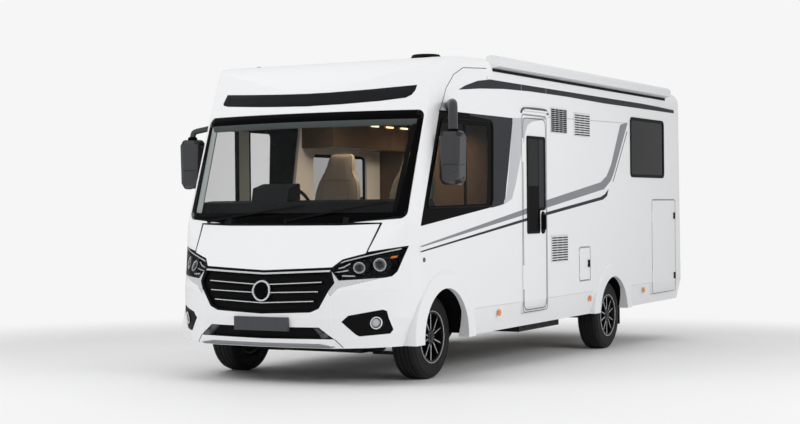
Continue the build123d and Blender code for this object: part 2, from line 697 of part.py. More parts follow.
chassis = rail(rail_y) + mirrored(rail(rail_y))
for share in cross_member_shares:
    x = rail_rear_x + share * (rail_front_x - rail_rear_x)
    chassis += block(x - rail_width / 2, x + rail_width / 2, -rail_y, rail_y, rail_bottom_z + rail_web,
                     rail_top_z - rail_web)
for x in (tow_bolt_x, tow_bolt_x + tow_bolt_spacing):
    bolt_hole = cylinder_z(x, rail_y - rail_web / 2, tow_bolt_r, rail_bottom_z - over,
                           rail_bottom_z + rail_web + over)
    chassis = cut_all(chassis, pair(bolt_hole))
jack_pad = block(jack_pad_x - jack_pad_length / 2, jack_pad_x + jack_pad_length / 2,
                 rail_y - jack_pad_width / 2, rail_y + jack_pad_width / 2, rail_bottom_z - jack_pad_drop,
                 rail_bottom_z)
nodes["chassis_frame"] = chassis + pair(jack_pad)
engine_front_x = 880
engine_half = 360
nodes["engine_block"] = block(bulkhead_x + over * 3, engine_front_x, -engine_half, engine_half,
                              rail_top_z - rail_web + seat_gap, lip_z - over * 3)

# Suspension. Each front wheel steers on an upright pin between a lower and an upper arm.
kingpin_y = 850
arm_drop = 150
arm_thick = 26
boss_r = 27
arm_width = 44
arm_root_y = rail_y + rail_width / 2
upright_half = arm_drop - arm_thick / 2 - seat_gap
upright_r = 24
subframe_half = 210


def front_arm(z):
    """One arm from the subframe to the steering pin, on both sides."""
    arm = block(-arm_width / 2, arm_width / 2, arm_root_y - over, kingpin_y, z - arm_thick / 2,
                z + arm_thick / 2)
    arm = arm + cylinder_z(0, kingpin_y, boss_r, z - arm_thick / 2, z + arm_thick / 2)
    return arm + mirrored(arm)


tower_width = 90
spring_y = 700
spring_r = 48
strut_r = 22
strut_top_z = tyre_r + liner_r - over
subframe = block(-subframe_half, subframe_half, -arm_root_y, arm_root_y, rail_bottom_z - arm_thick * 4,
                 rail_bottom_z - seat_gap)
tower = block(-tower_width, tower_width, arm_root_y + seat_gap, arm_root_y + arm_thick * 2,
              rail_bottom_z - arm_thick * 4, tyre_r + arm_drop + arm_thick)
spring = cylinder_z(0, spring_y, spring_r, tyre_r + arm_drop, strut_top_z)
strut = cylinder_z(0, spring_y, strut_r, tyre_r - arm_drop, strut_top_z)
suspension = subframe + front_arm(tyre_r - arm_drop) + front_arm(tyre_r + arm_drop)
suspension = suspension + pair(tower) + pair(spring) + pair(strut)
nodes["front_suspension"] = suspension

carrier_r = 74
carrier_depth = 30
steer_arm_x = -120


def spindle(centre_y, root_y, x, z):
    """The stub that a wheel turns on."""
    return cylinder_y(x, z, spindle_r, root_y, centre_y + rim_wall * 5)


def knuckle():
    """The left steering knuckle: upright pin, bearing carrier, stub axle and steering arm."""
    pin = cylinder_z(0, kingpin_y, upright_r, tyre_r - upright_half, tyre_r + upright_half)
    carrier = cylinder_y(0, tyre_r, carrier_r, kingpin_y - carrier_depth, kingpin_y + upright_r)
    arm = block(steer_arm_x, 0, kingpin_y - carrier_depth * 2, kingpin_y - upright_r / 2,
                tyre_r - arm_thick / 2, tyre_r + arm_thick / 2)
    return pin + carrier + arm + spindle(front_track_half, kingpin_y, 0, tyre_r)


nodes["knuckle_left"] = knuckle()
nodes["knuckle_right"] = mirrored(nodes["knuckle_left"])

axle_r = 37
spring_leaf_half = 620
leaf_thick = 22
leaf_width = 60
eye_r = 17
eye_z = rail_bottom_z - seat_gap - eye_r - over
leaf_low_z = rear_hub_z - axle_r


def leaf_spring(y):
    """An arched leaf under the axle tube, with an eye and a hanger at each end."""
    ends = [rear_hub_x - spring_leaf_half, rear_hub_x + spring_leaf_half]
    top = ThreePointArc((ends[0], y, eye_z), (rear_hub_x, y, leaf_low_z), (ends[1], y, eye_z))
    low = ThreePointArc((ends[1], y, eye_z - leaf_thick), (rear_hub_x, y, leaf_low_z - leaf_thick),
                        (ends[0], y, eye_z - leaf_thick))
    closing = [Line(top @ 1, low @ 0), Line(low @ 1, top @ 0)]
    leaf_body = extrude(make_face(Wire([top, closing[0], low, closing[1]])), amount=leaf_width / 2,
                        dir=(0, 1, 0), both=True)
    for x in ends:
        leaf_body = leaf_body + cylinder_y(x, eye_z - leaf_thick / 2, eye_r, y - leaf_width / 2,
                                           y + leaf_width / 2)
        leaf_body = leaf_body + block(x - eye_r, x + eye_r, y - leaf_width / 2, y + leaf_width / 2,
                                      eye_z - leaf_thick / 2, rail_bottom_z - seat_gap)
    return leaf_body


rear_flange_y = rear_track_half - disc_width * 2
rear_axle = cylinder_y(rear_hub_x, rear_hub_z, axle_r, -rear_flange_y, rear_flange_y)
rear_axle = rear_axle + pair(leaf_spring(rail_y)) + pair(
    cylinder_y(rear_hub_x, rear_hub_z, carrier_r, rear_flange_y - carrier_depth, rear_flange_y))
nodes["rear_axle"] = rear_axle + pair(spindle(rear_track_half, rear_flange_y, rear_hub_x, rear_hub_z))

# Wheels
groove_places_shares = [-0.27, -0.09, 0.09, 0.27]


def tyre(x, y, z):
    """A tyre with rounded shoulders and grooves round it, open where the rim seats."""
    half = tyre_width / 2
    seat_r = bead_r + seat_gap
    points = [(seat_r, -half * 0.8), (bead_r + tyre_shoulder_r, -half), (tyre_r - tyre_shoulder_r * 1.6, -half),
              (tyre_r - tyre_shoulder_r * 0.35, -half * 0.86), (tyre_r, -half * 0.62)]
    for share in groove_places_shares:
        centre = share * tyre_width
        low = centre - groove_width / 2
        high = centre + groove_width / 2
        points += [(tyre_r, low), (tyre_r - groove_depth, low), (tyre_r - groove_depth, high), (tyre_r, high)]
    points += [(tyre_r, half * 0.62), (tyre_r - tyre_shoulder_r * 0.35, half * 0.86),
               (tyre_r - tyre_shoulder_r * 1.6, half), (bead_r + tyre_shoulder_r, half),
               (seat_r + rim_lip, half * 0.97), (seat_r + rim_lip, half * 0.86 - seat_gap),
               (seat_r, half * 0.78)]
    section = make_face(Polyline(*[(x + r, y + w, z) for r, w in points], close=True))
    return revolve(section, axis=Axis((x, y, z), (0, 1, 0)))


def rim(x, y, z):
    """A left rim: rolled barrel, bright outer flange, paired spokes, hub and brake disc."""
    half = tyre_width / 2
    face_y = half * 0.62
    barrel = [(bead_r, -half * 0.8), (bead_r, half * 0.79), (bead_r + rim_lip, half * 0.86),
              (bead_r + rim_lip, half), (bead_r - rim_wall, half), (bead_r - rim_wall * 3, face_y - spoke_depth),
              (bead_r - rim_wall * 2, -half * 0.8)]
    shape = revolve(make_face(Polyline(*[(x + r, y + w, z) for r, w in barrel], close=True)),
                    axis=Axis((x, y, z), (0, 1, 0)))
    shape = shape + cylinder_y(x, z, hub_r, y + face_y - spoke_depth * 2, y + face_y)
    for i in range(spoke_pairs):
        for side in (-1, 1):
            angle = 360 / spoke_pairs * i + side * spoke_pair_angle / 2
            bar = block(hub_r / 2, bead_r - rim_wall * 2, y + face_y - spoke_depth, y + face_y,
                        -spoke_width / 2, spoke_width / 2)
            shape = shape + Pos(x, 0, z) * Rot(0, angle, 0) * bar
    shape = shape + cylinder_y(x, z, spindle_r * 2, y - disc_width, y + face_y)
    shape = shape + cylinder_y(x, z, disc_r, y - disc_width / 2, y + disc_width / 2)
    return shape - cylinder_y(x, z, spindle_r + spindle_clearance, y - half, y + rim_wall * 5 + seat_gap)


wheel_places = {"front": (0, front_track_half, tyre_r), "rear": (rear_hub_x, rear_track_half, rear_hub_z)}
for end, place in wheel_places.items():
    left_tyre = tyre(*place)
    left_rim = rim(*place)
    nodes["tyre_" + end + "_left"] = left_tyre
    nodes["tyre_" + end + "_right"] = mirrored(left_tyre)
    nodes["rim_" + end + "_left"] = left_rim
    nodes["rim_" + end + "_right"] = mirrored(left_rim)

# Under the floor: a water tank, the fuel tank and the exhaust
tank_bottom_z = 250
tank_top_z = living_floor_z - floor_thick - seat_gap
tank_in_y = rail_y + rail_width
tank_rear_x = -2950
tank_front_x = -1950
tank_width = 480
fuel_rear_x = -1600
fuel_front_x = -800
fuel_width = 420
pipe_r = 27
silencer_r = 68
pipe_y = -300
pipe_z = 297
pipe_rear_x = -1500
silencer_rear_x = -1450
silencer_front_x = -900
tank = block(tank_rear_x, tank_front_x, tank_in_y, tank_in_y + tank_width, tank_bottom_z, tank_top_z)
fuel_tank = block(fuel_rear_x, fuel_front_x, -tank_in_y - fuel_width, -tank_in_y, tank_bottom_z, tank_top_z)
exhaust = cylinder_x(pipe_y, pipe_z, pipe_r, pipe_rear_x, -subframe_half - seat_gap)
exhaust = exhaust + cylinder_x(pipe_y, pipe_z, silencer_r, silencer_rear_x, silencer_front_x)
nodes["underfloor_units"] = group([tank, fuel_tank, exhaust])

# Mirrors hang from arms at the pillar tops
mirror_x = 170
mirror_y = 1325
mirror_low_z = 1650
mirror_high_z = 2095
mirror_width = 200
mirror_depth = 125
arm_r = 17
mirror_arm_rise = 110
mirror_body = block(mirror_x - mirror_depth / 2, mirror_x + mirror_depth / 2, mirror_y - mirror_width / 2,
                    mirror_y + mirror_width / 2, mirror_low_z, mirror_high_z)
mirror_body = fillet(mirror_body.edges().filter_by(Axis.Z), mirror_depth * 0.4)
mirror_body = fillet(mirror_body.edges().filter_by(GeomType.CIRCLE), mirror_depth * 0.18)
mirror_root = (mirror_x - arm_r * 2, half_width - over * 4, mirror_high_z + mirror_arm_rise)
mirror_arm = rod(mirror_root, (mirror_x, mirror_y, mirror_high_z + mirror_arm_rise), arm_r)
mirror_arm = mirror_arm + rod((mirror_x, mirror_y, mirror_high_z + mirror_arm_rise + arm_r),
                              (mirror_x, mirror_y, mirror_high_z - over), arm_r)
nodes["mirrors"] = group(pair((mirror_body + mirror_arm) - coach))

# Awning cassette on the left roof edge
awning_front_x = -980
awning_rear_x = -5800
awning_low_z = 2712
awning_high_z = 2832
awning_out = 1240
awning_in = 1100
awning_points = [(awning_in, roof_z - over), (awning_in, awning_high_z - over * 3),
                 (awning_in + over * 8, awning_high_z), (awning_out - over * 6, awning_high_z - over * 2),
                 (awning_out, awning_high_z - over * 8), (awning_out - over * 2, awning_low_z + over * 3),
                 (half_width - over, awning_low_z)]
nodes["awning_cassette"] = front_prism(awning_points, awning_rear_x, awning_front_x) - coach

# Roof furniture
hatch_height = 62
# Shares: along of rear_end_x, the others of half_width.
RoofLight = namedtuple("RoofLight", "along across length width")
roof_light_shares = [RoofLight(0.380, 0, 0.552, 0.414), RoofLight(0.558, -0.103, 0.448, 0.448),
                     RoofLight(0.809, 0, 0.448, 0.448)]
roof_lights = []
for light in roof_light_shares:
    x = light.along * rear_end_x
    y = light.across * half_width
    half_length = light.length * half_width / 2
    half_breadth = light.width * half_width / 2
    dome = block(x - half_length, x + half_length, y - half_breadth, y + half_breadth, roof_z,
                 roof_z + hatch_height)
    dome = fillet(dome.edges().filter_by(Axis.Z), roof_edge_r / 2)
    dome = chamfer(dome.faces().sort_by(Axis.Z)[-1].edges(), hatch_height * 0.4)
    roof_lights.append(dome)
nodes["roof_lights"] = group(roof_lights)
dish_r = 165
dish_x = -1640
dish_y = 150
dish_post = 82
dish_height = 58
dish_rise = dish_post + dish_height / 2
dish_bowl = Pos(dish_x, dish_y, roof_z + dish_rise) * Cone(dish_r, dish_r * 0.8, dish_height)
nodes["roof_dish"] = cylinder_z(dish_x, dish_y, dish_r / 3, roof_z, roof_z + dish_post + over) + fillet(
    dish_bowl.edges().sort_by(Axis.Z)[-1], dish_height / 3)

# Small outside pieces on the walls
vent_out = 9
# Shares: front and rear of rear_end_x, low and high of roof_z.
Vent = namedtuple("Vent", "front rear low high")
vent_shares = [Vent(0.3629, 0.4304, 0.7786, 0.8679), Vent(0.4603, 0.5294, 0.7750, 0.8607),
               Vent(0.3629, 0.4304, 0.3250, 0.4196)]
vents = []
for share in vent_shares:
    vent = block(share.rear * rear_end_x, share.front * rear_end_x, half_width, half_width + vent_out,
                 share.low * roof_z, share.high * roof_z)
    vents.append(chamfer(vent.faces().sort_by(Axis.Y)[-1].edges(), vent_out / 2))
nodes["wall_vents"] = group(vents)
marker_z = 497
marker_place_shares = [0.1706, 0.5276, 0.7889]
marker_length = 66
marker_height = 26
markers = []
for share in marker_place_shares:
    x = share * rear_end_x
    lamp_body = block(x - marker_length / 2, x + marker_length / 2, half_width - lock_inset,
                      half_width + vent_out, marker_z - marker_height / 2, marker_z + marker_height / 2)
    markers += pair(lamp_body - coach)
roof_marker_x = -305
roof_marker_y = 903
roof_marker = block(roof_marker_x - marker_height, roof_marker_x + marker_height,
                    roof_marker_y - marker_height, roof_marker_y + marker_height, header_z,
                    brow_top_z + vent_out) - coach
nodes["marker_lamps"] = group(markers + pair(roof_marker))
rear_lamp_z = 820
rear_lamp_height = 420
rear_lamp_width = 130
rear_lamp = block(back_x, rear_x(rear_lamp_z) + wall, half_width - rear_lamp_width - roof_edge_r / 2,
                  half_width - roof_edge_r / 2, rear_lamp_z, rear_lamp_z + rear_lamp_height)
lamp_shell = envelope(-vent_out * 2) - coach
nodes["rear_lamps"] = group(pair(rear_lamp & lamp_shell))
plate_width = 520
plate_height = 112
plate_z = 521
plate_out = 16
rear_plate_z = 780
front_plate = block(0, front_overhang + plate_out, -plate_width / 2, plate_width / 2,
                    plate_z - plate_height / 2, plate_z + plate_height / 2) - coach
rear_plate = block(rear_x(rear_plate_z) - plate_out, 0, -plate_width / 2, plate_width / 2,
                   rear_plate_z - plate_height / 2, rear_plate_z + plate_height / 2) - coach
nodes["number_plates"] = group([front_plate, rear_plate])
trim_z = 2606
trim_height = 24
edge_trim = block(rear_x(trim_z) + rear_roof_r, cap_x, half_width, half_width + vent_out, trim_z,
                  trim_z + trim_height)
gutter = block(door_rear_x, door_front_x - lock_inset, half_width, half_width + vent_out * 2,
               door_top_z + lock_inset * 0.7, door_top_z + lock_inset)
nodes["edge_trims"] = group(pair(edge_trim) + [gutter])
wiper_r = 9
wiper_root_z = 1362
wiper_thick = 16


def wiper(root, tip):
    """A wiper arm and blade lying along the glass between two front-view points."""
    line = [(root[0], root[1] - wiper_r), (tip[0], tip[1] - wiper_r / 2), (tip[0], tip[1] + wiper_r / 2),
            (root[0], root[1] + wiper_r)]
    arm = skin(-wiper_thick, -seat_gap, front_prism(line, 0, far_x))
    boss = skin(-wiper_thick - over, -seat_gap, cylinder_x(root[0], root[1], wiper_r * 2, 0, far_x))
    return arm + boss


# Shares: root and tip of screen_half, rise of the screen's height.
WiperShare = namedtuple("WiperShare", "root tip rise")
wiper_shares = [WiperShare(-0.741, 0.184, 0.1345), WiperShare(0.051, 0.857, 0.161)]
nodes["wipers"] = group([
    wiper((share.root * screen_half, wiper_root_z),
          (share.tip * screen_half, wiper_root_z + share.rise * (header_z - screen_foot_z)))
    for share in wiper_shares])

# Cab inside: dashboard, steering wheel and two seats
dash_rear_x = 110
dash_top_z = 1535
dash_low_z = 1060
dash_reach = 270
driver_y = -400
dash_y = inside_y - over
dash_front_x = bulkhead_x - floor_thick - seat_gap
dash_points = [(dash_rear_x, dash_low_z), (dash_front_x, dash_low_z), (dash_front_x, dash_top_z - over * 4),
               (dash_rear_x + over * 10, dash_top_z), (dash_rear_x, dash_top_z - over * 12)]
dash = side_prism(dash_points, -dash_y, dash_y)
hump = side_prism([(dash_rear_x, dash_low_z * 1.2), (dash_rear_x + dash_reach, dash_low_z * 1.2),
                   (dash_rear_x + dash_reach * 0.7, dash_top_z * 1.07), (dash_rear_x, dash_top_z * 1.10)],
                  driver_y - hub_r * 3, driver_y + hub_r * 3, over * 4)
nodes["dashboard"] = (dash + hump) & coach_inner
wheel_x = -60
wheel_z = 1490
wheel_r = 185
wheel_grip_r = 15
wheel_tilt_deg = -62
column_r = 24
steering = Torus(wheel_r, wheel_grip_r) + Cylinder(column_r * 2.4, column_r)
steering = steering + Box(wheel_r * 2 - wheel_grip_r, column_r, wheel_grip_r)
steering = steering + Pos(0, 0, -column_r * 4) * Cylinder(column_r, column_r * 7)
steering = Pos(wheel_x, driver_y, wheel_z) * Rot(0, wheel_tilt_deg, 0) * steering
nodes["steering_wheel"] = steering - nodes["dashboard"]
seat_x = -560
seat_width = 500
seat_top_z = 2005
cushion_z = 1180
seat_depth = 520
back_thick = 130
head_width = 300


def cab_seat(y):
    """A cab seat on its swivel box, with the head restraint built in."""
    half = seat_width / 2
    cushion = block(seat_x - seat_depth / 2, seat_x + seat_depth / 2, y - half, y + half,
                    cushion_z - back_thick, cushion_z)
    cushion = fillet(cushion.edges(), back_thick * 0.35)
    base = block(seat_x - seat_depth / 3, seat_x + seat_depth / 3, y - half * 0.7, y + half * 0.7,
                 cab_floor_z, cushion_z - back_thick / 2)
    rear = seat_x - seat_depth / 2
    back_points = [(rear + back_thick, cushion_z - back_thick / 2), (rear, cushion_z - back_thick / 2),
                   (rear - back_thick * 1.5, seat_top_z), (rear - back_thick * 0.8, seat_top_z)]
    back = side_prism(back_points, y - half, y + half, wall)
    shape = [(y - half, cushion_z - back_thick), (y + half, cushion_z - back_thick),
             (y + half, seat_top_z - head_width), (y + head_width / 2, seat_top_z - head_width * 0.7),
             (y + head_width / 2, seat_top_z), (y - head_width / 2, seat_top_z),
             (y - head_width / 2, seat_top_z - head_width * 0.7), (y - half, seat_top_z - head_width)]
    back = back & front_prism(shape, seat_x - seat_depth * 2, seat_x + seat_depth, wall)
    return cushion + base + back


nodes["cab_seats"] = group([cab_seat(driver_y), cab_seat(-driver_y)])

# Living space seen through the windows
wall_y = inside_y - seat_gap
bench_front_x = -1380
bench_rear_x = -1960
bench_z = 1010
bench_in_y = -430
bench = block(bench_rear_x, bench_front_x, -wall_y, bench_in_y, living_floor_z, bench_z)
bench_back = block(bench_rear_x, bench_rear_x + back_thick, -wall_y, bench_in_y, bench_z, bench_z + seat_depth)
inside_space = envelope(wall + seat_gap, over)
nodes["dinette"] = (bench + bench_back) & inside_space
locker_low_z = 2060
locker_high_z = 2500
locker_in_y = 760
kitchen_front_x = -2300
kitchen_rear_x = -3400
kitchen_in_y = 560
kitchen_top_z = 1380
cupboard_rear_x = -4350
wardrobe_front_x = -3000
wardrobe_in_y = -480
partition_x = -4400
partition_thick = 30
doorway_half = 330
doorway_top_z = 2400
right_locker_front_x = -1400
right_locker_rear_x = -2980
kitchen = block(kitchen_rear_x, kitchen_front_x, kitchen_in_y, wall_y, living_floor_z, kitchen_top_z)
kitchen_lockers = block(cupboard_rear_x, kitchen_front_x, locker_in_y, wall_y, locker_low_z, locker_high_z)
wardrobe = block(cupboard_rear_x, wardrobe_front_x, -wall_y, wardrobe_in_y, living_floor_z, locker_high_z)
partition = block(partition_x, partition_x + partition_thick, -wall_y, wall_y, living_floor_z, locker_high_z)
partition = partition - block(partition_x - over, partition_x + partition_thick + over, -doorway_half,
                              doorway_half, living_floor_z - over, doorway_top_z)
right_lockers = block(right_locker_rear_x, right_locker_front_x, -wall_y, -locker_in_y, locker_low_z,
                      locker_high_z)
nodes["furniture"] = group([cut_all(piece & inside_space, liner_space + leaf_spaces) for piece in (
    kitchen, kitchen_lockers, wardrobe, partition, right_lockers)])
bed_front_x = -4450
bed_z = 1560
bed_board = block(rear_x(bed_z) + wall + seat_gap, bed_front_x, -wall_y, wall_y, bed_z - floor_thick, bed_z)
mattress = block(rear_x(0) + wall * 3, bed_front_x - wall, -wall_y + wall, wall_y - wall, bed_z,
                 bed_z + back_thick)
nodes["rear_bed"] = bed_board + fillet(mattress.edges().filter_by(Axis.Z), back_thick / 2)

# The coach is set nose down about its front axle, and centred on its own box
stance = Pos(0, 0, tyre_r) * Rot(0, rake_deg, 0) * Pos(0, 0, -tyre_r)
standing = {name: stance * node for name, node in nodes.items()}
low_x = min(node.bounding_box().min.X for node in standing.values())
high_x = max(node.bounding_box().max.X for node in standing.values())
centring = Pos(-(low_x + high_x) / 2, 0, 0)
os.makedirs("parts", exist_ok=True)
for name, node in standing.items():
    export_step(centring * node, os.path.join("parts", name + ".step"))

# Joint places, as they stand
places = {
    "front_hub": (0, 0, tyre_r), "rear_hub": (rear_hub_x, 0, rear_hub_z),
    "hab_door": (door_front_x + hinge_stand_off / 2, half_width + hinge_stand_off,
                 (door_bottom_z + door_top_z) / 2),
    "garage_door": (garage_front_x + hinge_stand_off / 2, half_width + hinge_stand_off,
                    (garage_bottom_z + garage_top_z) / 2),
    "service_hatch": (hatch_front_x + hinge_stand_off / 2, half_width + hinge_stand_off,
                      (hatch_bottom_z + hatch_top_z) / 2),
    "bonnet": (bonnet_axis_x, 0, bonnet_axis_z),
}
for name, place in places.items():
    point = (centring * stance * Pos(*place)).position
    print("place", name, round(point.X, 3), round(point.Y, 3), round(point.Z, 3))
print("centre", (low_x + high_x) / 2)
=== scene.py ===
import math
from collections import namedtuple

import bmesh
import bpy
from mathutils import Matrix, Vector
from mathutils.bvhtree import BVHTree


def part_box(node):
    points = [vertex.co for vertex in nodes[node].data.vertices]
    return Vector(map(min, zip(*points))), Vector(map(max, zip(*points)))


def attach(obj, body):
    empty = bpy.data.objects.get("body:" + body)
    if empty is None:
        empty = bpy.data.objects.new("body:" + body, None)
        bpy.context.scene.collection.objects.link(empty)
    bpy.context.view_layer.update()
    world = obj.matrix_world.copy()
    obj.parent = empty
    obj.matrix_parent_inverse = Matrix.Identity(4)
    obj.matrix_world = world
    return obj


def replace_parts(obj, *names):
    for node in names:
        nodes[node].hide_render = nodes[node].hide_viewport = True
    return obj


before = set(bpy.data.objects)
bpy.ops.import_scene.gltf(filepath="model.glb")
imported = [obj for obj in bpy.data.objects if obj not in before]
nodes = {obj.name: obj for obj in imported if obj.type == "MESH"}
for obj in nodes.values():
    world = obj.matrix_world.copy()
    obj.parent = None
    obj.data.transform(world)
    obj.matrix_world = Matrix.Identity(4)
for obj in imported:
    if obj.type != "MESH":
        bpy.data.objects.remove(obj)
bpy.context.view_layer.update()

# The looks of the motorhome. Metres. Places are written in the level drawing of the part, with the front
# axle over the origin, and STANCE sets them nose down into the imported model's frame.
HUB_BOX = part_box("rim_front_left")
AXLE = Vector(((HUB_BOX[0][0] + HUB_BOX[1][0]) / 2, 0, (HUB_BOX[0][2] + HUB_BOX[1][2]) / 2))
RAKE = math.radians(1.15)
STANCE = Matrix.Translation(AXLE) @ Matrix.Rotation(RAKE, 4, "Y") @ Matrix.Translation((0, 0, -AXLE.z))
UNTURN = STANCE.inverted()
HALF_WIDTH = 1.160
COACH = "coach"
LEFT = 1
RIGHT = -1


# Materials: each is one shader whose colour, roughness and relief vary with noise over the surface.
Finish = namedtuple("Finish", "colour tone roughness spread metallic coat specular grain relief")
FINISH_ROWS = {
    "gelcoat": ((0.80, 0.805, 0.815), 0.992, 0.32, 0.015, 0, 0, 0.35, 0.9, 0.00001),
    "powder_coat": ((0.74, 0.75, 0.76), 0.96, 0.40, 0.06, 0, 0.1, 0.5, 0.02, 0.0001),
    "vent_plastic": ((0.66, 0.67, 0.68), 0.94, 0.45, 0.08, 0, 0, 0.5, 0.01, 0.0002),
    # shade_and_joint_dark: painted shade in the vent openings and under the awning, and the dark colour of seams and
    # joints
    "shade_and_joint_dark": ((0.010, 0.010, 0.011), 0.7, 0.75, 0.1, 0, 0, 0.1, 0.02, 0.0003),
    "grained_black": ((0.006, 0.006, 0.0065), 0.6, 0.50, 0.12, 0, 0, 0.06, 0.004, 0.0004),
    "gloss_black": ((0.003, 0.003, 0.0035), 0.7, 0.25, 0.04, 0, 0, 0.02, 0.05, 0.00003),
    "brow_black": ((0.010, 0.0105, 0.013), 0.8, 0.42, 0.08, 0, 0, 0.15, 0.3, 0.0001),
    "mirror_shell": ((0.030, 0.031, 0.034), 0.9, 0.30, 0.04, 0, 0.3, 0.5, 0.05, 0.00003),
    "lamp_bucket": ((0.004, 0.004, 0.0045), 0.7, 0.30, 0.08, 0, 0, 0.15, 0.05, 0.00002),
    "chrome": ((0.86, 0.87, 0.89), 0.93, 0.14, 0.05, 1, 0, 0.5, 0.1, 0.00002),
    "silver_paint": ((0.66, 0.67, 0.69), 0.95, 0.26, 0.05, 0.4, 0.3, 0.5, 0.1, 0.00002),
    "satin_grey": ((0.095, 0.098, 0.105), 0.85, 0.42, 0.08, 0, 0, 0.3, 0.03, 0.0001),
    "plate_grey": ((0.070, 0.072, 0.078), 0.9, 0.5, 0.08, 0, 0, 0.15, 0.1, 0.0001),
    "decal_dark": ((0.034, 0.035, 0.040), 0.9, 0.45, 0.05, 0, 0, 0.06, 0.3, 0.0001),
    "decal_mid": ((0.215, 0.22, 0.235), 0.93, 0.38, 0.05, 0, 0, 0.4, 0.3, 0.0001),
    "decal_pale": ((0.50, 0.505, 0.53), 0.95, 0.36, 0.05, 0, 0, 0.4, 0.3, 0.0001),
    "tyre": ((0.012, 0.012, 0.013), 0.75, 0.70, 0.12, 0, 0, 0.25, 0.012, 0.0006),
    "rim_black": ((0.005, 0.005, 0.006), 0.7, 0.28, 0.06, 0, 0, 0.25, 0.02, 0.0001),
    "rim_bright": ((0.80, 0.81, 0.83), 0.93, 0.25, 0.06, 1, 0, 0.5, 0.05, 0.00003),
    "chassis": ((0.020, 0.021, 0.022), 0.6, 0.65, 0.15, 0.1, 0, 0.3, 0.03, 0.0008),
    "cast_iron": ((0.07, 0.066, 0.062), 0.6, 0.55, 0.15, 0.7, 0, 0.5, 0.01, 0.0008),
    "floor_board": ((0.16, 0.12, 0.085), 0.7, 0.5, 0.1, 0, 0, 0.4, 0.15, 0.0003),
    "walnut": ((0.115, 0.078, 0.050), 0.6, 0.42, 0.1, 0, 0.1, 0.4, 0.12, 0.0002),
    "cloth_beige": ((0.30, 0.265, 0.215), 0.8, 0.85, 0.08, 0, 0, 0.3, 0.003, 0.0008),
    "piping": ((0.16, 0.135, 0.105), 0.8, 0.7, 0.08, 0, 0, 0.3, 0.003, 0.0004),
    "leather_dash": ((0.012, 0.013, 0.0135), 0.7, 0.6, 0.12, 0, 0, 0.3, 0.006, 0.0004),
    "blind": ((0.055, 0.065, 0.065), 0.85, 0.6, 0.08, 0, 0, 0.3, 0.01, 0.0003),
    "blind_rail": ((0.30, 0.33, 0.325), 0.85, 0.5, 0.08, 0, 0, 0.3, 0.01, 0.0003),
    "lens_red": ((0.42, 0.012, 0.010), 0.8, 0.14, 0.04, 0, 0.6, 0.5, 0.01, 0.0003),
    "lens_amber": ((0.90, 0.24, 0.02), 0.85, 0.16, 0.04, 0, 0.6, 0.5, 0.01, 0.0003),
}
FINISHES = {name: Finish(*row) for name, row in FINISH_ROWS.items()}
made_materials = {}


def new_material(name):
    """An empty node material, its tree and its shader."""
    made = bpy.data.materials.new(name)
    made.use_nodes = True
    return made, made.node_tree, made.node_tree.nodes["Principled BSDF"]


def add_node(tree, kind, values=None, sources=None, **settings):
    """A shader node with its settings, the values of its inputs and the sockets that feed them."""
    made = tree.nodes.new("ShaderNode" + kind)
    for key, value in settings.items():
        setattr(made, key, value)
    for key, value in (values or {}).items():
        made.inputs[key].default_value = value
    for key, source in (sources or {}).items():
        tree.links.new(source, made.inputs[key])
    return made


def object_place(tree):
    """The place of a point in its object."""
    return add_node(tree, "TexCoord").outputs["Object"]


def noise(tree, size, detail=3.0):
    """A noise field fixed to the object, with features of about that size."""
    return add_node(tree, "TexNoise", {"Scale": 1 / size, "Detail": detail},
                    {"Vector": object_place(tree)}).outputs["Fac"]


def mapped(tree, source, values, **settings):
    """A value taken from one range to another."""
    return add_node(tree, "MapRange", values, {"Value": source}, **settings).outputs["Result"]


NOISE_LOW = 0.25
NOISE_HIGH = 0.75
FINE_SHARE = 0.25
FINE_DETAIL = 5.0
RELIEF_STRENGTH = 0.6


def vary(tree, field, low, high, socket):
    """Drives a socket between two values with a noise field."""
    values = {"From Min": NOISE_LOW, "From Max": NOISE_HIGH, "To Min": low, "To Max": high}
    tree.links.new(mapped(tree, field, values), socket)


def tinted(tree, field, colour, tone, socket):
    """Drives a colour socket between a colour and a darker tone of it."""
    values = {"A": (*colour, 1), "B": (*(c * tone for c in colour), 1)}
    mix = add_node(tree, "Mix", values, {"Factor": field}, data_type="RGBA")
    tree.links.new(mix.outputs["Result"], socket)


def roughen(tree, field, shader, depth):
    """Fine relief from a noise field."""
    bump = add_node(tree, "Bump", {"Distance": depth, "Strength": RELIEF_STRENGTH}, {"Height": field})
    tree.links.new(bump.outputs["Normal"], shader.inputs["Normal"])


def paint(name):
    """The material of a finish, made once."""
    if name in made_materials:
        return made_materials[name]
    finish = FINISHES[name]
    made, tree, shader = new_material(name)
    shader.inputs["Metallic"].default_value = finish.metallic
    shader.inputs["Coat Weight"].default_value = finish.coat
    shader.inputs["Specular IOR Level"].default_value = finish.specular
    field = noise(tree, finish.grain)
    tinted(tree, field, finish.colour, finish.tone, shader.inputs["Base Color"])
    vary(tree, field, finish.roughness - finish.spread, finish.roughness + finish.spread,
         shader.inputs["Roughness"])
    roughen(tree, noise(tree, finish.grain * FINE_SHARE, FINE_DETAIL), shader, finish.relief)
    made_materials[name] = made
    return made


PLACE_BLUR = 0.005
GLASS_SPECULAR = 0.10
GLASS_GRAIN = 0.6
GLASS_TONE = 0.9
GLASS_SPREAD = 0.3
SLANT_BLEND = 0.35


def by_place(tree, axis, limit, below, above):
    """A value that changes at a place on an axis of the frame."""
    split = add_node(tree, "SeparateXYZ", {}, {0: object_place(tree)})
    return mapped(tree, split.outputs[axis], {"From Min": limit - PLACE_BLUR, "From Max": limit + PLACE_BLUR,
                                              "To Min": below, "To Max": above})


def math_node(tree, operation, first, second):
    """Two values joined by an operation."""
    return add_node(tree, "Math", {}, {0: first, 1: second}, operation=operation).outputs[0]


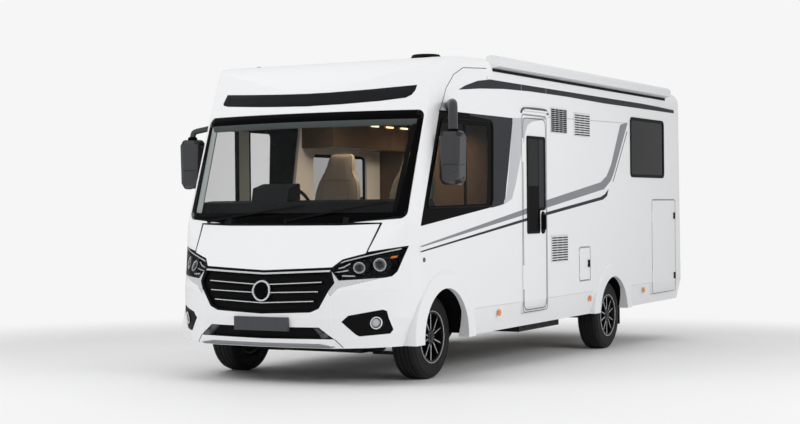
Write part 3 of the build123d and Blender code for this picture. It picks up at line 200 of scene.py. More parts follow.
def glazing(name, colour, facing_alpha, edge_alpha, roughness=0.03, clearer=()):
    """Glass that is clearer face on than at a slant, and past the places in clearer."""
    made, tree, shader = new_material(name)
    field = noise(tree, GLASS_GRAIN)
    tinted(tree, field, colour, GLASS_TONE, shader.inputs["Base Color"])
    vary(tree, field, roughness * (1 - GLASS_SPREAD), roughness * (1 + GLASS_SPREAD), shader.inputs["Roughness"])
    slant = add_node(tree, "LayerWeight", {"Blend": SLANT_BLEND})
    alpha = mapped(tree, slant.outputs["Facing"], {"To Min": facing_alpha, "To Max": edge_alpha})
    for axis, limit, below, above in clearer:
        alpha = math_node(tree, "MULTIPLY", alpha, by_place(tree, axis, limit, below, above))
    tree.links.new(alpha, shader.inputs["Alpha"])
    shader.inputs["Specular IOR Level"].default_value = GLASS_SPECULAR
    made.surface_render_method = "BLENDED"
    return made


def glow(name, colour, strength):
    """A lit lens with a faint pattern."""
    made, tree, shader = new_material(name)
    field = noise(tree, 0.02)
    for socket in ("Base Color", "Emission Color"):
        tinted(tree, field, colour, 0.8, shader.inputs[socket])
    shader.inputs["Emission Strength"].default_value = strength
    return made


# The cab's panes are clearer than the living space's, and the right wall's than the left's
CAB_REAR = AXLE.x - 1.42
SCREEN_GLASS = glazing("screen_glass", (0.03, 0.036, 0.038), 0.05, 0.36)
WALL_GLASS = glazing("wall_glass", (0.006, 0.0065, 0.007), 0.86, 0.97, 0.05,
                     (("X", CAB_REAR, 1.0, 0.36), ("Y", 0.0, 0.42, 1.0)))
LAMP_GLASS = glazing("lamp_glass", (0.03, 0.032, 0.034), 0.05, 0.25)

NODE_FINISHES = {
    "gelcoat": ("side_wall_left", "side_wall_right", "roof_shell", "rear_wall", "skirts", "front_bumper",
                "front_wings", "front_cap", "bonnet", "hab_door", "garage_door", "service_hatch", "arch_lips",
                "edge_trims"),
    "powder_coat": ("awning_cassette",),
    "vent_plastic": ("wall_vents", "roof_lights"),
    "grained_black": ("front_grilles", "wipers", "roof_dish", "arch_liners", "hab_door_handle"),
    "plate_grey": ("number_plates",),
    "mirror_shell": ("mirrors",),
    "silver_paint": ("nose_trim",),
    "lamp_bucket": ("front_lamps",),
    "lens_red": ("rear_lamps",),
    "lens_amber": ("marker_lamps",),
    "tyre": ("tyre_front_left", "tyre_front_right", "tyre_rear_left", "tyre_rear_right"),
    "chassis": ("chassis_frame", "front_suspension", "rear_axle", "underfloor_units", "front_bulkhead"),
    "cast_iron": ("knuckle_left", "knuckle_right", "engine_block"),
    "floor_board": ("floor_panel",),
    "walnut": ("furniture",),
    "leather_dash": ("dashboard", "steering_wheel"),
    "cloth_beige": ("cab_seats", "dinette", "rear_bed"),
    "rim_black": ("rim_front_left", "rim_front_right", "rim_rear_left", "rim_rear_right"),
}
NODE_MATERIALS = [(member, paint(finish)) for finish, members in NODE_FINISHES.items() for member in members]
NODE_MATERIALS += [("windscreen", SCREEN_GLASS), ("side_windows", WALL_GLASS), ("hab_door_window", WALL_GLASS),
                   ("headlamp_covers", LAMP_GLASS)]
for member, material in NODE_MATERIALS:
    nodes[member].data.materials.clear()
    nodes[member].data.materials.append(material)


# Pieces. A material is given as itself or as the name of a finish.
def put(name, data):
    """An object in the scene."""
    made = bpy.data.objects.new(name, data)
    bpy.context.scene.collection.objects.link(made)
    return made


def material_of(given):
    """The material of a finish's name, or the given material."""
    return paint(given) if isinstance(given, str) else given


def piece(name, mesh, material, body=COACH, smooth=True):
    """A mesh as a scene piece that rides on a body."""
    made = put(name, mesh)
    mesh.materials.append(material_of(material))
    if smooth:
        for face in mesh.polygons:
            face.use_smooth = True
    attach(made, body)
    return made


def mesh_of(name, points, faces):
    """A mesh from points of the level drawing."""
    mesh = bpy.data.meshes.new(name)
    mesh.from_pydata([STANCE @ Vector(p) for p in points], [], faces)
    mesh.update()
    return mesh


def add_modifier(made, kind, **settings):
    """Adds a modifier and sets its values."""
    modifier = made.modifiers.new(kind.lower(), kind)
    for key, value in settings.items():
        setattr(modifier, key, value)
    return modifier


def rounded(points, radius, steps=6):
    """A closed outline with its corners rounded."""
    made = []
    count = len(points)
    for i in range(count):
        corner = Vector(points[i])
        before = Vector(points[i - 1]) - corner
        after = Vector(points[(i + 1) % count]) - corner
        reach = min(radius, before.length / 2.1, after.length / 2.1)
        start = corner + before.normalized() * reach
        end = corner + after.normalized() * reach
        for k in range(steps + 1):
            t = k / steps
            made.append(tuple(start * (1 - t) ** 2 + corner * 2 * t * (1 - t) + end * t ** 2))
    return made


def box_outline(x0, x1, z0, z1):
    """The corners of an upright rectangle."""
    return [(x0, z0), (x1, z0), (x1, z1), (x0, z1)]


def inset_outline(points, width):
    """The outline moved inwards by a width, each point along its own bisector."""
    area = sum(a[0] * b[1] - b[0] * a[1] for a, b in zip(points, points[1:] + points[:1]))
    turn = 1 if area > 0 else -1
    made = []
    count = len(points)
    for i in range(count):
        here = Vector(points[i])
        along = (Vector(points[(i + 1) % count]) - Vector(points[i - 1])).normalized()
        made.append(tuple(here + Vector((-along.y, along.x)) * turn * width))
    return made


def side_point(u, v, out, side):
    """A point on a flat side wall, a little proud of it."""
    return (u, side * (HALF_WIDTH + out), v)


def flat_piece(name, points, faces, material, body=COACH, bevel=0.0):
    """A piece with flat faces that look outwards, and narrow bevels."""
    made = piece(name, mesh_of(name, points, faces), material, body, smooth=False)
    tidy_normals(made)
    if bevel:
        add_modifier(made, "BEVEL", width=bevel, segments=2, limit_method="ANGLE")
    return made


def prism_faces(count):
    """The faces of a prism: a ring of points, and the same ring at its other end."""
    faces = [tuple(range(count)), tuple(range(2 * count - 1, count - 1, -1))]
    return faces + [(i, i + count, (i + 1) % count + count, (i + 1) % count) for i in range(count)]


def side_slab(name, outline, out, thick, material, body=COACH, side=LEFT, bevel=0.0):
    """A flat piece on a side wall, from an (x, z) outline."""
    points = [side_point(u, v, level, side) for level in (out, out + thick) for u, v in outline]
    return flat_piece(name, points, prism_faces(len(outline)), material, body, bevel)


def side_ring(name, outline, width, out, thick, material, body=COACH, side=LEFT, bevel=0.002):
    """A raised frame of an even width on a side wall, inside an outline."""
    side_frame(name, outline, inset_outline(outline, width), out, thick, material, body, side, bevel)


def side_frame(name, outline, inner, out, thick, material, body=COACH, side=LEFT, bevel=0.002):
    """A raised frame on a side wall between two outlines with as many points."""
    count = len(outline)
    points = [side_point(u, v, level, side) for level in (out, out + thick) for ring in (outline, inner)
              for u, v in ring]
    faces = []
    for i in range(count):
        j = (i + 1) % count
        faces += [(i, j, count + j, count + i), (2 * count + i, 3 * count + i, 3 * count + j, 2 * count + j),
                  (i, 2 * count + i, 2 * count + j, j), (count + i, count + j, 3 * count + j, 3 * count + i)]
    flat_piece(name, points, faces, material, body, bevel)


def tidy_normals(made):
    """Turns all faces outwards."""
    work = bmesh.new()
    work.from_mesh(made.data)
    bmesh.ops.recalc_face_normals(work, faces=work.faces)
    work.to_mesh(made.data)
    work.free()


def split_outline(outline, low, high):
    """The part of an (x, z) outline between two x values, by clipping."""
    def clip(points, limit, keep_below):
        kept = []
        for a, b in zip(points, points[1:] + points[:1]):
            inside_a = a[0] <= limit if keep_below else a[0] >= limit
            inside_b = b[0] <= limit if keep_below else b[0] >= limit
            if inside_a:
                kept.append(a)
            if inside_a != inside_b:
                t = (limit - a[0]) / (b[0] - a[0])
                kept.append((limit, a[1] + t * (b[1] - a[1])))
        return kept
    made = clip(outline, high, True)
    return clip(made, low, False) if made else made


def skin_tree(names):
    """What a ray can hit: the given CAD nodes."""
    return [BVHTree.FromObject(nodes[n], bpy.context.evaluated_depsgraph_get()) for n in names]


def hit(trees, start, direction):
    """The first point of the nodes on a ray in the level drawing, or None."""
    origin = STANCE @ Vector(start)
    heading = STANCE.to_3x3() @ Vector(direction)
    found = [tree.ray_cast(origin, heading) for tree in trees]
    found = [f for f in found if f[0] is not None]
    if not found:
        return None
    nearest = min(found, key=lambda f: f[3])
    return nearest[0], nearest[1]


RAY_START_X = 3.0


def draped(name, outline, trees, material, out=0.0012, step=0.05, thick=0.0006, body=COACH):
    """A thin piece that follows the nose, from a front-view (y, z) outline."""
    work = bmesh.new()
    corners = [work.verts.new((y, z, 0)) for y, z in outline]
    work.faces.new(corners)
    for axis in (0, 1):
        values = [p[axis] for p in outline]
        cuts = math.ceil((max(values) - min(values)) / step)
        for k in range(1, cuts):
            normal = Vector((1 - axis, axis, 0))
            spot = normal * (min(values) + k * step)
            bmesh.ops.bisect_plane(work, geom=work.verts[:] + work.edges[:] + work.faces[:],
                                   plane_co=spot, plane_no=normal)
    bmesh.ops.triangulate(work, faces=work.faces[:])
    lost = []
    for vert in work.verts:
        found = hit(trees, (RAY_START_X, vert.co.x, vert.co.y), (-1, 0, 0))
        if found is None:
            lost.append(vert)
            continue
        vert.co = found[0] + found[1] * out
    bmesh.ops.delete(work, geom=lost, context="VERTS")
    mesh = bpy.data.meshes.new(name)
    work.to_mesh(mesh)
    work.free()
    made = piece(name, mesh, material, body)
    add_modifier(made, "SOLIDIFY", thickness=thick, offset=1.0)
    return made


def lathe(name, profile, centre, axis, material, body=COACH, steps=40, ring=False):
    """A turned piece: (radius, distance along the axis) points spun about an axis, capped or closed to a ring."""
    heading = Vector(axis).normalized()
    across = heading.orthogonal().normalized()
    third = heading.cross(across)
    points = []
    faces = []
    for r, a in profile:
        for k in range(steps):
            angle = 2 * math.pi * k / steps
            spoke = across * math.cos(angle) + third * math.sin(angle)
            points.append(Vector(centre) + heading * a + spoke * r)
    for row in range(len(profile) if ring else len(profile) - 1):
        onward = (row + 1) % len(profile)
        for k in range(steps):
            j = (k + 1) % steps
            faces.append((row * steps + k, row * steps + j, onward * steps + j, onward * steps + k))
    if not ring:
        faces.append(tuple(range(steps)))
        faces.append(tuple(range(len(profile) * steps - 1, (len(profile) - 1) * steps - 1, -1)))
    made = piece(name, mesh_of(name, points, faces), material, body)
    tidy_normals(made)
    return made


def block_form(name, outline, low, high, place, soft, segments=4):
    """A closed block with rounded edges: a flat outline between two heights, put in the level drawing."""
    work = bmesh.new()
    lower = [work.verts.new((u, v, low)) for u, v in outline]
    upper = [work.verts.new((u, v, high)) for u, v in outline]
    work.faces.new(lower[::-1])
    work.faces.new(upper)
    for i in range(len(outline)):
        j = (i + 1) % len(outline)
        work.faces.new((lower[i], lower[j], upper[j], upper[i]))
    bmesh.ops.bevel(work, geom=work.edges[:], offset=soft, segments=segments, profile=0.5, affect="EDGES")
    for vert in work.verts:
        vert.co = STANCE @ Vector(place(*vert.co))
    bmesh.ops.recalc_face_normals(work, faces=work.faces)
    mesh = bpy.data.meshes.new(name)
    work.to_mesh(mesh)
    work.free()
    return mesh


def tube(name, points, radius, material, body=COACH, closed=False, steps=3, smooth=False):
    """A round bar along points of the level drawing."""
    curve = bpy.data.curves.new(name, "CURVE")
    curve.dimensions = "3D"
    curve.bevel_depth = radius
    curve.bevel_resolution = steps
    curve.use_fill_caps = True
    spline = curve.splines.new("NURBS" if smooth else "POLY")
    spline.points.add(len(points) - 1)
    for target, point in zip(spline.points, points):
        target.co = (*(STANCE @ Vector(point)), 1)
    if smooth:
        spline.order_u = 3
        spline.use_endpoint_u = True
        spline.resolution_u = 10
    spline.use_cyclic_u = closed
    curve.materials.append(material_of(material))
    made = put(name, curve)
    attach(made, body)
    return made


# Decals on the sides, split at the door: what lies over its x values rides on the leaf at any height
DOOR_FRONT_X = -1.620
DOOR_REAR_X = -2.220
DOOR_GAP = 0.005
PAST_FRONT = 1.0
PAST_REAR = -7.0
DECAL_OUT = 0.0004
DECAL_THICK = 0.0005
DOOR_GLASS = (-2.172, -1.728)
DOOR_GLASS_TOP = 2.135
Decal = namedtuple("Decal", "name finish outline")
DECALS = [
    Decal("grey_stripe", "decal_mid", [
        (0.475, 1.137), (0.440, 1.148), (-1.596, 1.424), (-2.221, 1.520), (-3.685, 1.706), (-3.860, 1.774),
        (-3.999, 1.894),
        (-4.295, 2.339), (-4.532, 2.373), (-4.089, 1.820), (-3.995, 1.727), (-3.781, 1.633), (-2.219, 1.446),
        (-1.595, 1.373), (0.420, 1.138)]),
    Decal("dark_stripe", "decal_dark", [
        (0.475, 1.096), (0.440, 1.106), (-1.569, 1.333), (-2.218, 1.403), (-3.682, 1.551), (-3.810, 1.582),
        (-3.920, 1.637),
        (-3.869, 1.560), (-3.749, 1.523), (-2.218, 1.372), (-1.568, 1.307), (0.420, 1.096)]),
    Decal("thin_dark_line", "decal_dark", [(-4.050, 1.719), (-4.505, 2.274), (-4.522, 2.272), (-4.067, 1.717)]),
    Decal("upper_band", "decal_dark", [
        (-0.275, 2.475), (-0.409, 2.519), (-0.668, 2.578), (-0.927, 2.606), (-1.224, 2.623), (-1.819, 2.619),
        (-3.788, 2.619), (-5.601, 2.599), (-6.146, 2.588), (-6.145, 2.551), (-5.600, 2.550), (-3.786, 2.545),
        (-2.749, 2.556), (-1.818, 2.553), (-1.222, 2.539), (-0.704, 2.511)]),
    Decal("pale_band", "decal_pale", [
        (-1.402, 2.281), (-2.240, 2.322), (-2.217, 2.304), (-1.876, 2.270), (-1.765, 2.231), (-1.721, 2.177),
        (-1.606, 1.946), (-1.473, 1.667), (-1.385, 1.531), (-1.198, 1.479), (-0.956, 1.455), (-1.176, 1.488),
        (-1.260, 1.547), (-1.328, 1.803), (-1.405, 2.216)]),
    Decal("thin_pale_line", "decal_pale", [(-2.265, 2.332), (-4.480, 2.367), (-4.480, 2.359), (-2.265, 2.324)]),
]


def decal(entry, side):
    """One decal on one side, on the left in pieces for the wall and the door, clear of the door's glass."""
    if side == LEFT:
        door_low = DOOR_REAR_X + DOOR_GAP
        door_high = DOOR_FRONT_X - DOOR_GAP
        on_door = split_outline(entry.outline, *DOOR_GLASS)
        if on_door and min(z for x, z in on_door) < DOOR_GLASS_TOP:
            door_spans = [("door_front", DOOR_GLASS[1], door_high), ("door_rear", door_low, DOOR_GLASS[0])]
        else:
            door_spans = [("door", door_low, door_high)]
        spans = [("front", DOOR_FRONT_X, PAST_FRONT, COACH), ("rear", PAST_REAR, DOOR_REAR_X, COACH)]
        spans += [(*span, "hab_door") for span in door_spans]
        side_name = "left"
    else:
        spans = [("all", PAST_REAR, PAST_FRONT, COACH)]
        side_name = "right"
    for label, low, high, body in spans:
        part = split_outline(entry.outline, low, high)
        if len(part) > 2:
            side_slab(f"{entry.name}_{side_name}_{label}", part, DECAL_OUT, DECAL_THICK, entry.finish, body, side)


for entry in DECALS:
    for side in (LEFT, RIGHT):
        decal(entry, side)

# Windscreen: black printed border, and the brow's dark stripe
screen_trees = skin_tree(["windscreen"])
nose_trees = skin_tree(["windscreen", "front_cap", "front_wings", "bonnet", "front_bumper"])
BORDER_OUT = 0.0008
BORDERS = {
    "screen_border_low": [(-1.080, 1.40), (-0.58, 1.3375), (0.58, 1.3375), (1.080, 1.40), (1.010, 1.440),
                          (0.96, 1.424), (0, 1.424), (-0.97, 1.428), (-1.018, 1.440)],
    "screen_border_top": [(-1.078, 2.279), (1.078, 2.279), (1.050, 2.195), (1.034, 2.207), (0, 2.207),
                          (-1.034, 2.205), (-1.056, 2.190)],
    "screen_border_left": [(1.080, 1.40), (1.079, 2.25), (1.038, 2.205), (0.998, 1.430)],
    "screen_border_right": [(-1.080, 1.40), (-1.079, 2.25), (-1.041, 2.203), (-1.012, 1.430)],
}
for name, outline in BORDERS.items():
    draped(name, outline, screen_trees, "gloss_black", out=BORDER_OUT)
BROW = [(-0.938, 2.490), (-0.80, 2.482), (-0.60, 2.472), (-0.40, 2.464), (-0.20, 2.458), (0.0, 2.455),
        (0.20, 2.457), (0.40, 2.463), (0.60, 2.472), (0.80, 2.485), (0.982, 2.497), (0.975, 2.450), (0.950, 2.412),
        (0.905, 2.388), (0.69, 2.366), (0.50, 2.356), (0.33, 2.348), (0.0, 2.342), (-0.33, 2.350), (-0.50, 2.357),
        (-0.69, 2.367), (-0.90, 2.380), (-0.955, 2.392), (-0.968, 2.410)]
draped("brow_stripe", BROW, nose_trees, "brow_black", out=0.0010, thick=0.0004)


# Small helpers for detail on the nose
NOSE_STEP = 0.03


def nose_spot(y, z, trees, back=0.0):
    """A point on the nose, and its outward normal, in the level drawing."""
    place, normal = hit(trees, (RAY_START_X, y, z), (-1, 0, 0))
    facing = UNTURN.to_3x3() @ normal
    return UNTURN @ place - facing * back, facing


def along_nose(points, trees, out):
    """Points of a front-view line laid on the nose, with more points between the given ones."""
    laid = []
    for a, b in zip(points, points[1:]):
        cuts = max(1, math.ceil(math.dist(a, b) / NOSE_STEP))
        for k in range(cuts):
            t = k / cuts
            laid.append((a[0] + (b[0] - a[0]) * t, a[1] + (b[1] - a[1]) * t))
    laid.append(points[-1])
    return [nose_spot(y, z, trees, -out)[0] for y, z in laid]


def band(points, width):
    """The outline of a band of that width along a line."""
    upper = []
    lower = []
    for i, here in enumerate(points):
        a = Vector(points[max(i - 1, 0)])
        b = Vector(points[min(i + 1, len(points) - 1)])
        along = (b - a).normalized()
        across = Vector((-along.y, along.x)) * width / 2
        upper.append(tuple(Vector(here) + across))
        lower.append(tuple(Vector(here) - across))
    return upper + lower[::-1]


def both(points, side):
    """Front-view points of the left half, or their mirror image."""
    return [(y * side, z) for y, z in points]


SIDES = (("left", LEFT), ("right", RIGHT))

# Headlamps: chrome-ringed projectors, fins, a bright upper edge and an amber corner, behind the clear cover
cover_trees = skin_tree(["headlamp_covers"])
LAMP_EDGE = [(0.625, 0.985), (0.665, 1.022), (0.700, 1.036), (0.848, 1.074), (1.070, 1.128)]
FINS = [
    [(0.615, 0.970), (0.700, 0.990), (0.745, 1.020)],
    [(0.630, 0.945), (0.700, 0.955), (0.745, 0.965)],
    [(0.655, 0.918), (0.720, 0.918), (0.800, 0.915)],
]
LENSES = ((0.818, 0.984, 0.050), (0.952, 1.004, 0.056))
LENS_RING = [(0.80, 0.0), (0.94, 0.004), (1.0, 0.010), (0.94, 0.013), (0.84, 0.012), (0.76, 0.004)]
LENS_DOME = [(0.78, 0.0), (0.72, 0.006), (0.56, 0.011), (0.32, 0.014), (0.10, 0.015)]
LENS_CUP = [(0.55, 0.001), (0.76, 0.004), (0.74, 0.006), (0.50, 0.004)]
LENS_BACK = 0.0215
FIN_BACK = 0.012
EDGE_BACK = 0.0048
lens_glass = glazing("projector_glass", (0.06, 0.065, 0.072), 0.6, 0.9)
for label, side in SIDES:
    for number, (y, z, r) in enumerate(LENSES):
        spot, facing = nose_spot(y * side, z, cover_trees, LENS_BACK)
        for name, profile, material, ring in (("ring", LENS_RING, "chrome", True),
                                              ("dome", LENS_DOME, lens_glass, False),
                                              ("cup", LENS_CUP, "silver_paint", True)):
            lathe(f"lens_{name}_{label}_{number}", [(share * r, a) for share, a in profile], spot, facing, material,
                  ring=ring)
    draped(f"lamp_edge_{label}", both(band(LAMP_EDGE, 0.009), side), cover_trees, "powder_coat", out=-EDGE_BACK,
           thick=0.0004)
    for number, fin in enumerate(FINS):
        draped(f"lamp_fin_{label}_{number}", both(band(fin, 0.011), side), cover_trees, "silver_paint",
               out=-FIN_BACK)
    draped(f"lamp_amber_{label}", both([(1.010, 1.050), (1.050, 1.058), (1.056, 1.074), (1.016, 1.068)], side),
           cover_trees, "lens_amber", out=-FIN_BACK)

# Fog lamps: a chrome ring and a clear lens with a bright bowl
FOG_PLACES = {LEFT: (0.930, 0.535), RIGHT: (0.885, 0.535)}
FOG_RING = [(0.041, 0.0), (0.050, 0.004), (0.053, 0.011), (0.050, 0.015), (0.044, 0.013), (0.040, 0.008)]
FOG_LENS = [(0.041, 0.004), (0.038, 0.009), (0.028, 0.014), (0.015, 0.017), (0.003, 0.018)]
FOG_BOWL = [(0.038, 0.001), (0.030, 0.002), (0.010, 0.003)]
fog_trees = skin_tree(["front_lamps"])
for label, side in SIDES:
    spot, facing = nose_spot(FOG_PLACES[side][0] * side, FOG_PLACES[side][1], fog_trees)
    lathe(f"fog_ring_{label}", FOG_RING, spot, facing, "chrome", ring=True)
    lathe(f"fog_bowl_{label}", FOG_BOWL, spot, facing, "silver_paint")
    lathe(f"fog_lens_{label}", FOG_LENS, spot, facing, LAMP_GLASS)

# Grille: the plain disc in the ring, dark slats between the bars, and the silver trim round the lower intake
grille_trees = skin_tree(["front_grilles", "nose_trim"])
RING_PLACE = (0.0, 0.790)
RING_DISC = [(0.070, -0.002), (0.070, 0.003), (0.060, 0.006), (0.030, 0.009), (0.004, 0.010)]
spot, facing = nose_spot(*RING_PLACE, grille_trees)
lathe("ring_disc", RING_DISC, spot, (1, 0, 0), "gloss_black")
bumper_trees = skin_tree(["front_bumper", "front_grilles"])
WEDGE = [(0.452, 0.493), (0.512, 0.497), (0.640, 0.410), (0.545, 0.407)]
LOWER_LIP = [(0.0, 0.364), (0.52, 0.366), (0.66, 0.345), (0.62, 0.334), (0.0, 0.334)]
INTAKE_SLATS = (0.430, 0.462)
lip_outline = LOWER_LIP + [(-y, z) for y, z in reversed(LOWER_LIP) if y > 0]
draped("bumper_lip", lip_outline, bumper_trees, "decal_mid", out=0.0020, thick=0.001)
for label, side in SIDES:
    draped(f"bumper_wedge_{label}", both(WEDGE, side), bumper_trees, "satin_grey", out=0.0015, thick=0.003)
    wedge_line = along_nose(both([(0.652, 0.405), (0.710, 0.338)], side), bumper_trees, 0.0)
    tube(f"wedge_line_{label}", wedge_line, 0.003, "shade_and_joint_dark")
for number, z in enumerate(INTAKE_SLATS):
    tube(f"intake_slat_{number}", along_nose([(-0.50, z), (0.50, z)], bumper_trees, -0.010), 0.005,
         "grained_black")

# Windscreen blind under the top border, and its side rails
BLINDS = [
    ("screen_blind", "blind", 0.0005,
     [(-1.040, 2.206), (0, 2.208), (1.036, 2.208), (1.030, 2.152), (0, 2.152), (-1.030, 2.148)]),
    ("blind_rail_right", "blind_rail", 0.0005,
     [(-1.040, 2.203), (-1.012, 1.430), (-0.935, 1.430), (-0.972, 2.150), (-1.00, 2.150)]),
    ("blind_rail_edge_right", "shade_and_joint_dark", 0.0006,
     [(-0.972, 2.150), (-0.935, 1.430), (-0.927, 1.430), (-0.962, 2.150)]),
    ("blind_rail_left", "grained_black", 0.0005,
     [(1.036, 2.205), (0.998, 1.430), (0.962, 1.430), (0.990, 2.150), (1.00, 2.150)]),
]
for name, finish, out, outline in BLINDS:
    draped(name, outline, screen_trees, finish, out=out)


# Windows: a raised black frame round each pane, and the sliding pane's divider
def frame_side(name, outline, side, body=COACH, width=0.034):
    """A window's frame on a side."""
    side_ring(name, outline, width, -0.002, 0.010, "grained_black", body, side)


CAB_OUTER = [(0.455, 1.309), (0.090, 2.281), (-1.415, 2.281), (-1.200, 1.485)]
CAB_CLEAR = [(0.337, 1.470), (0.064, 2.181), (-0.875, 2.181), (-0.842, 1.490)]
CAB_RIM = [(0.352, 1.452), (0.050, 2.228), (-0.972, 2.228), (-0.952, 1.462)]
CAB_PANEL = [(-0.50, 2.281), (-1.380, 2.281), (-1.412, 2.245), (-1.303, 1.800), (-1.236, 1.570), (-1.190, 1.492),
             (-1.130, 1.474), (-0.930, 1.452), (-0.975, 1.520), (-0.990, 2.170), (-0.975, 2.225), (-0.93, 2.244),
             (-0.50, 2.262)]
CAB_CORNER = 0.045
POST = box_outline(-0.445, -0.262, 1.455, 2.190)
REAR_WINDOW = rounded(box_outline(-5.755, -4.600, 1.770, 2.440), 0.07)
RIGHT_WINDOW = rounded(box_outline(-2.720, -1.620, 1.200, 2.010), 0.07)
DOOR_WINDOW = rounded([(-1.730, 1.200), (-1.730, 2.130), (-2.170, 2.130), (-2.170, 1.424), (-2.036, 1.424),
                       (-2.036, 1.200)], 0.030)
for label, side in SIDES:
    side_frame(f"cab_border_{label}", rounded(CAB_OUTER, 0.012), rounded(CAB_CLEAR, CAB_CORNER), 0.0004, 0.0012,
               "gloss_black", COACH, side, bevel=0)
    side_slab(f"cab_panel_{label}", CAB_PANEL, 0.0016, 0.0006, "decal_dark", COACH, side)
    side_ring(f"cab_rim_{label}", rounded(CAB_RIM, 0.075), 0.012, -0.001, 0.010, "grained_black", COACH, side,
              bevel=0.003)
    side_slab(f"cab_divider_{label}", box_outline(-0.420, -0.378, 1.470, 2.182), -0.002, 0.008, "grained_black",
              COACH, side, bevel=0.002)
    frame_side(f"rear_window_frame_{label}", REAR_WINDOW, side)
side_slab("cab_post_right", POST, -0.045, 0.030, "blind_rail", COACH, RIGHT, bevel=0.006)
for number, x in enumerate((-0.258, -0.452)):
    side_slab(f"cab_post_edge_{number}", box_outline(x - 0.012, x + 0.012, 1.455, 2.190), -0.046, 0.032,
              "grained_black", COACH, RIGHT)
frame_side("right_window_frame", RIGHT_WINDOW, RIGHT)
frame_side("door_window_frame", DOOR_WINDOW, LEFT, "hab_door", width=0.026)
for name, outline, out, thick, finish in (
        ("strip", box_outline(-2.146, -2.022, 1.420, 2.106), -0.002, 0.005, "decal_dark"),
        ("cover", box_outline(-2.174, -2.034, 1.194, 1.426), -0.004, 0.0055, "gelcoat"),
        ("lower", box_outline(-2.022, -1.754, 1.224, 1.655), -0.002, 0.004, "gloss_black")):
    side_slab(f"door_window_{name}", outline, out, thick, finish, "hab_door")

# Seals round the leaves, the door's line, gutter and handle plate, and the locks
SEAL_WIDTH = 0.006
SEAL_INSET = 0.003
Leaf = namedtuple("Leaf", "name body x0 x1 z0 z1 radius")
LEAVES = [
    Leaf("door", "hab_door", -2.220, -1.620, 0.456, 2.330, 0.045),
    Leaf("garage", "garage_door", -6.165, -5.315, 0.433, 1.520, 0.045),
    Leaf("hatch", "service_hatch", -3.365, -3.055, 0.690, 1.035, 0.022),
]
for entry in LEAVES:
    outline = rounded(box_outline(entry.x0 + SEAL_INSET, entry.x1 - SEAL_INSET, entry.z0 + SEAL_INSET,
                                  entry.z1 - SEAL_INSET), entry.radius)
    side_ring(f"{entry.name}_seal", outline, SEAL_WIDTH, -0.001, 0.0025, "satin_grey", entry.body, bevel=0.0005)
DOOR_LINE = rounded(box_outline(-2.196, -1.644, 0.480, 2.300), 0.08)
side_ring("door_frame_line", DOOR_LINE, 0.006, -0.001, 0.003, "shade_and_joint_dark", "hab_door", bevel=0.0006)
GUTTER_LINE = [(-1.600, 2.342), (-1.622, 2.372), (-1.668, 2.390), (-2.180, 2.396), (-2.226, 2.380), (-2.248, 2.352)]
tube("door_gutter", [side_point(x, z, 0.006, LEFT) for x, z in GUTTER_LINE], 0.010, "satin_grey", smooth=True)
side_slab("door_handle_plate", rounded(box_outline(-2.165, -2.062, 1.195, 1.405), 0.050), -0.001, 0.008,
          "grained_black", "hab_door", bevel=0.002)
LOCK_HALF = (0.024, 0.038)
LOCKS = [("garage", "garage_door", -6.115, 1.328), ("garage", "garage_door", -6.115, 0.617),
         ("hatch", "service_hatch", -3.315, 0.8625)]
for number, (name, body, x, z) in enumerate(LOCKS):
    outline = box_outline(x - LOCK_HALF[0], x + LOCK_HALF[0], z - LOCK_HALF[1], z + LOCK_HALF[1])
    side_slab(f"{name}_lock_{number}", rounded(outline, 0.012), 0.0, 0.012, "grained_black", body, bevel=0.002)

# Vents: dark slots on the raised plates, painted shade in the vent openings
Vent = namedtuple("Vent", "name x0 x1 z0 z1 columns rows fill")
VENTS = [
    Vent("vent_grid", -2.740, -2.310, 2.180, 2.430, 4, 12, 0.80),
    Vent("vent_louvre", -3.370, -2.930, 2.170, 2.410, 3, 9, 0.50),
    Vent("vent_low", -2.740, -2.310, 0.910, 1.175, 3, 10, 0.50),
]
VENT_MARGIN = 0.010
VENT_OUT = 0.0088
VENT_RIB = 0.004
for entry in VENTS:
    width = (entry.x1 - entry.x0 - 2 * VENT_MARGIN) / entry.columns
    height = (entry.z1 - entry.z0 - 2 * VENT_MARGIN) / entry.rows
    for column in range(entry.columns):
        for row in range(entry.rows):
            x = entry.x0 + VENT_MARGIN + column * width + VENT_RIB
            z = entry.z0 + VENT_MARGIN + row * height
            outline = rounded(box_outline(x, x + width - 2 * VENT_RIB, z, z + height * entry.fill), 0.003, 2)
            # Each slot is a dark slab that paints the shade inside a vent opening
            side_slab(f"{entry.name}_{column}_{row}", outline, VENT_OUT, 0.0006, "shade_and_joint_dark")

# Round side markers over the part's small lamps
MARKER_XS = (-1.086, -3.359, -5.022)
MARKER_Z = 0.497
SIDE_MARKER = [(0.032, 0.0), (0.031, 0.004), (0.025, 0.007), (0.014, 0.0085), (0.002, 0.009)]
ROOF_MARKER = [(0.030, -0.006), (0.029, 0.002), (0.022, 0.006), (0.010, 0.0085), (0.002, 0.009)]
ROOF_MARKER_X = -0.305
ROOF_MARKER_Y = 0.903
RAY_START_Z = 4.0
for label, side in SIDES:
    for number, x in enumerate(MARKER_XS):
        marker = lathe(f"side_marker_{label}_{number}", SIDE_MARKER, (x, side * HALF_WIDTH, MARKER_Z), (0, side, 0),
                       "lens_amber")
        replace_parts(marker, "marker_lamps")
roof_trees = skin_tree(["roof_shell", "front_cap"])
for label, side in SIDES:
    spot, facing = hit(roof_trees, (ROOF_MARKER_X, side * ROOF_MARKER_Y, RAY_START_Z), (0, 0, -1))
    lathe(f"roof_marker_{label}", ROOF_MARKER, UNTURN @ spot, (0, 0, 1), "satin_grey")

# Lines in the coachwork: the cap's seam, the skirt's joint, painted shade in the gap under the awning, the fuel nozzle
coach_trees = skin_tree(["side_wall_left", "side_wall_right", "roof_shell", "front_cap", "skirts", "front_wings"])
RAY_START_Y = 3
SIDE_STEP = 0.04


